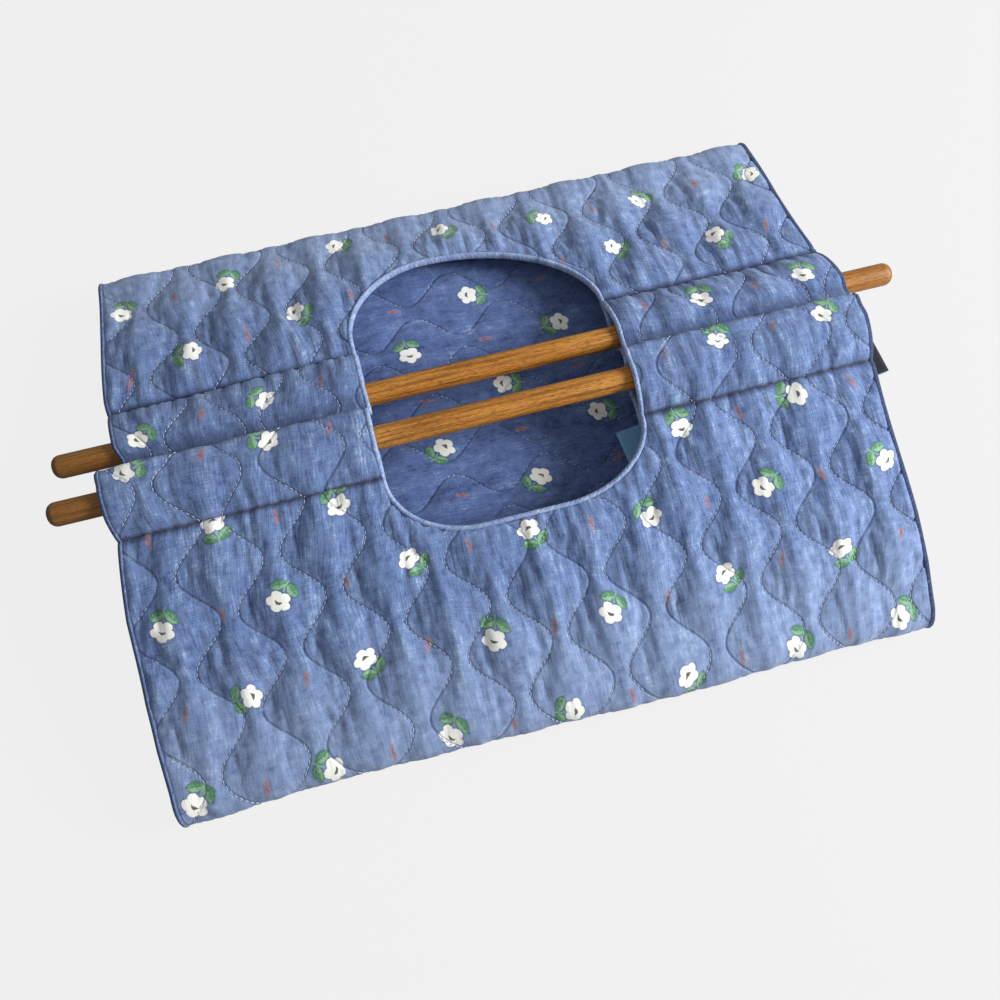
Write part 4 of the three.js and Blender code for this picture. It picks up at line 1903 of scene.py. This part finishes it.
@dataclass(frozen=True)
class Studio:
    """The floor, the light and the camera."""

    azimuth: float = -15.475
    elevation: float = 72.067
    roll: float = 0.952
    target: tuple[float, float, float] = (-8.889, -37.28, 30.0)
    distance: float = 544.54
    lens: float = 36.46
    floor_grey: int = 243
    floor_glow: float = 0.93
    room: float = 0.36
    lamp_place: tuple[float, float, float] = (1.2, -0.25, 0.7)
    lamp_size: float = 0.6
    lamp_power: float = 27.0

    def build_floor(self) -> None:
        """Lays a plain pale floor."""
        mesh = bmesh.new()
        bmesh.ops.create_grid(mesh, x_segments=1, y_segments=1, size=6000)
        floor = finish_mesh("floor", mesh, flat_places(mesh) - (0, 0, 0.3))
        shader = Shader("floor_paper", Roughness=0.9, Specular_IOR_Level=0.2)
        shader.bsdf.inputs["Base Color"].default_value = linear(*[self.floor_grey - 39] * 3)
        shader.bsdf.inputs["Emission Color"].default_value = linear(*[self.floor_grey] * 3)
        paper = shader.add("ShaderNodeEmission", None, {"Color": linear(*[self.floor_grey] * 3)})
        seen = Wire(shader, shader.add("ShaderNodeLightPath").outputs["Is Camera Ray"])
        mixed = shader.add("ShaderNodeMixShader", None, {0: seen * self.floor_glow})
        shader.tree.links.new(shader.bsdf.outputs[0], mixed.inputs[1])
        shader.tree.links.new(paper.outputs[0], mixed.inputs[2])
        shader.tree.links.new(mixed.outputs[0], shader.tree.nodes["Material Output"].inputs[0])
        floor.data.materials.append(shader.material)

    def build_light(self) -> None:
        """Stands one broad lamp to the right and lets the room fill the rest."""
        world = bpy.data.worlds.new("room")
        bpy.context.scene.world = world
        world.use_nodes = True
        world.node_tree.nodes["Background"].inputs["Color"].default_value = (1.0, 1.0, 1.0, 1)
        world.node_tree.nodes["Background"].inputs["Strength"].default_value = self.room
        lamp = bpy.data.lights.new("window", "AREA")
        lamp.shape = "DISK"
        lamp.size = self.lamp_size
        lamp.energy = self.lamp_power
        holder = bpy.data.objects.new("window", lamp)
        holder.location = self.lamp_place
        holder.rotation_euler = (-Vector(self.lamp_place)).to_track_quat("-Z", "Y").to_euler()
        bpy.context.scene.collection.objects.link(holder)

    def build_camera(self) -> None:
        """Sets the camera at the photograph's angle."""
        turn, rise, roll = (math.radians(value) for value in (self.azimuth, self.elevation, self.roll))
        back = Vector((
            math.sin(turn) * math.cos(rise), -math.cos(turn) * math.cos(rise), math.sin(rise),
        ))
        right = (-back).cross(Vector((0, 0, 1))).normalized()
        up = right.cross(-back)
        level = Matrix((right, up, back)).transposed()
        camera = bpy.data.cameras.new("camera")
        camera.lens = self.lens
        camera.sensor_width = 36.0
        holder = bpy.data.objects.new("camera", camera)
        place = (Vector(self.target) + back * self.distance) * MM
        holder.matrix_world = Matrix.Translation(place) @ (level @ Matrix.Rotation(roll, 3, "Z")).to_4x4()
        bpy.context.scene.collection.objects.link(holder)
        bpy.context.scene.camera = holder

    def build(self) -> None:
        """Builds the studio."""
        bpy.context.scene.view_settings.view_transform = "Standard"
        self.build_floor()
        self.build_light()
        self.build_camera()


def edge_base() -> None:
    """Hides the CAD base, whose cloth and edging the handle panel's halves stand for."""
    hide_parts("base_panel")
    for label in ("left", "right"):
        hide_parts(f"base_binding_{label}")


def main() -> None:
    """Builds the carrier."""
    logging.basicConfig(level=logging.INFO, format="%(name)s: %(message)s")
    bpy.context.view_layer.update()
    WrapPanel().build()
    HandlePanelHalf(
        name="front",
        side=-1,
        slope=math.radians(13.3),
        reach=168.5,
        opening_left=-65,
        opening_right=72,
        opening_drop=36,
        opening_level=(-21, 22),
        opening_straight=(2, 2),
        strays=(
            (-160, 121, 4, 7), (-95, 116, 4, -2), (-63, 77, 0, 9), (0, 78, 0, 8), (-95, 35, -1, 6),
            (-127, 77, -5, 1), (-15, 30, 1, -4), (50, 38, -3, -5), (64, 78, 1, -4), (90, 2, -2, 4),
            (95, 120, -4, -5), (140, 78, -2, -3), (192, 78, 4, -5), (192, 160, -14, -2), (128, 159, -7, -3),
            (100, 35, -2, 3), (-193, 160, 1, 3), (-128, 160, 12, 1), (-62, 157, 12, 0), (-162, 35, 7, 1),
            (-193, 80, 4, 0), (189, -11, -10, 2), (126, -6, -6, -2), (-129, -6, 4, -2), (-190, -10, -4, 2),
        ),
    ).build()
    HandlePanelHalf(
        name="rear",
        side=1,
        slope=math.radians(11.3),
        reach=127,
        opening_left=-65,
        opening_right=74,
        opening_drop=53,
        opening_level=(-15, -12),
        opening_straight=(9, 1),
        strays=(
            (-126, 10, -5, 2), (-190, 16, -1, 4), (-159, 56, 7, -1), (-127, 92, 12, 11), (-192, 94, 1, 20),
            (125, 16, -9, 6), (-63, 91, 12, 2), (92, 60, -1, -12), (62, 14, -3, 6), (-1, 12, -2, -5),
            (132, 94, -4, 11), (194, 93, -12, 11), (184, 18, 6, 2), (158, 57, -6, -2),
        ),
    ).build()
    edge_base()
    for name in ("front_dowel", "rear_dowel"):
        Dowel(name).build()
    Closure().build()
    Studio().build()


if __name__ == "__main__":
    main()
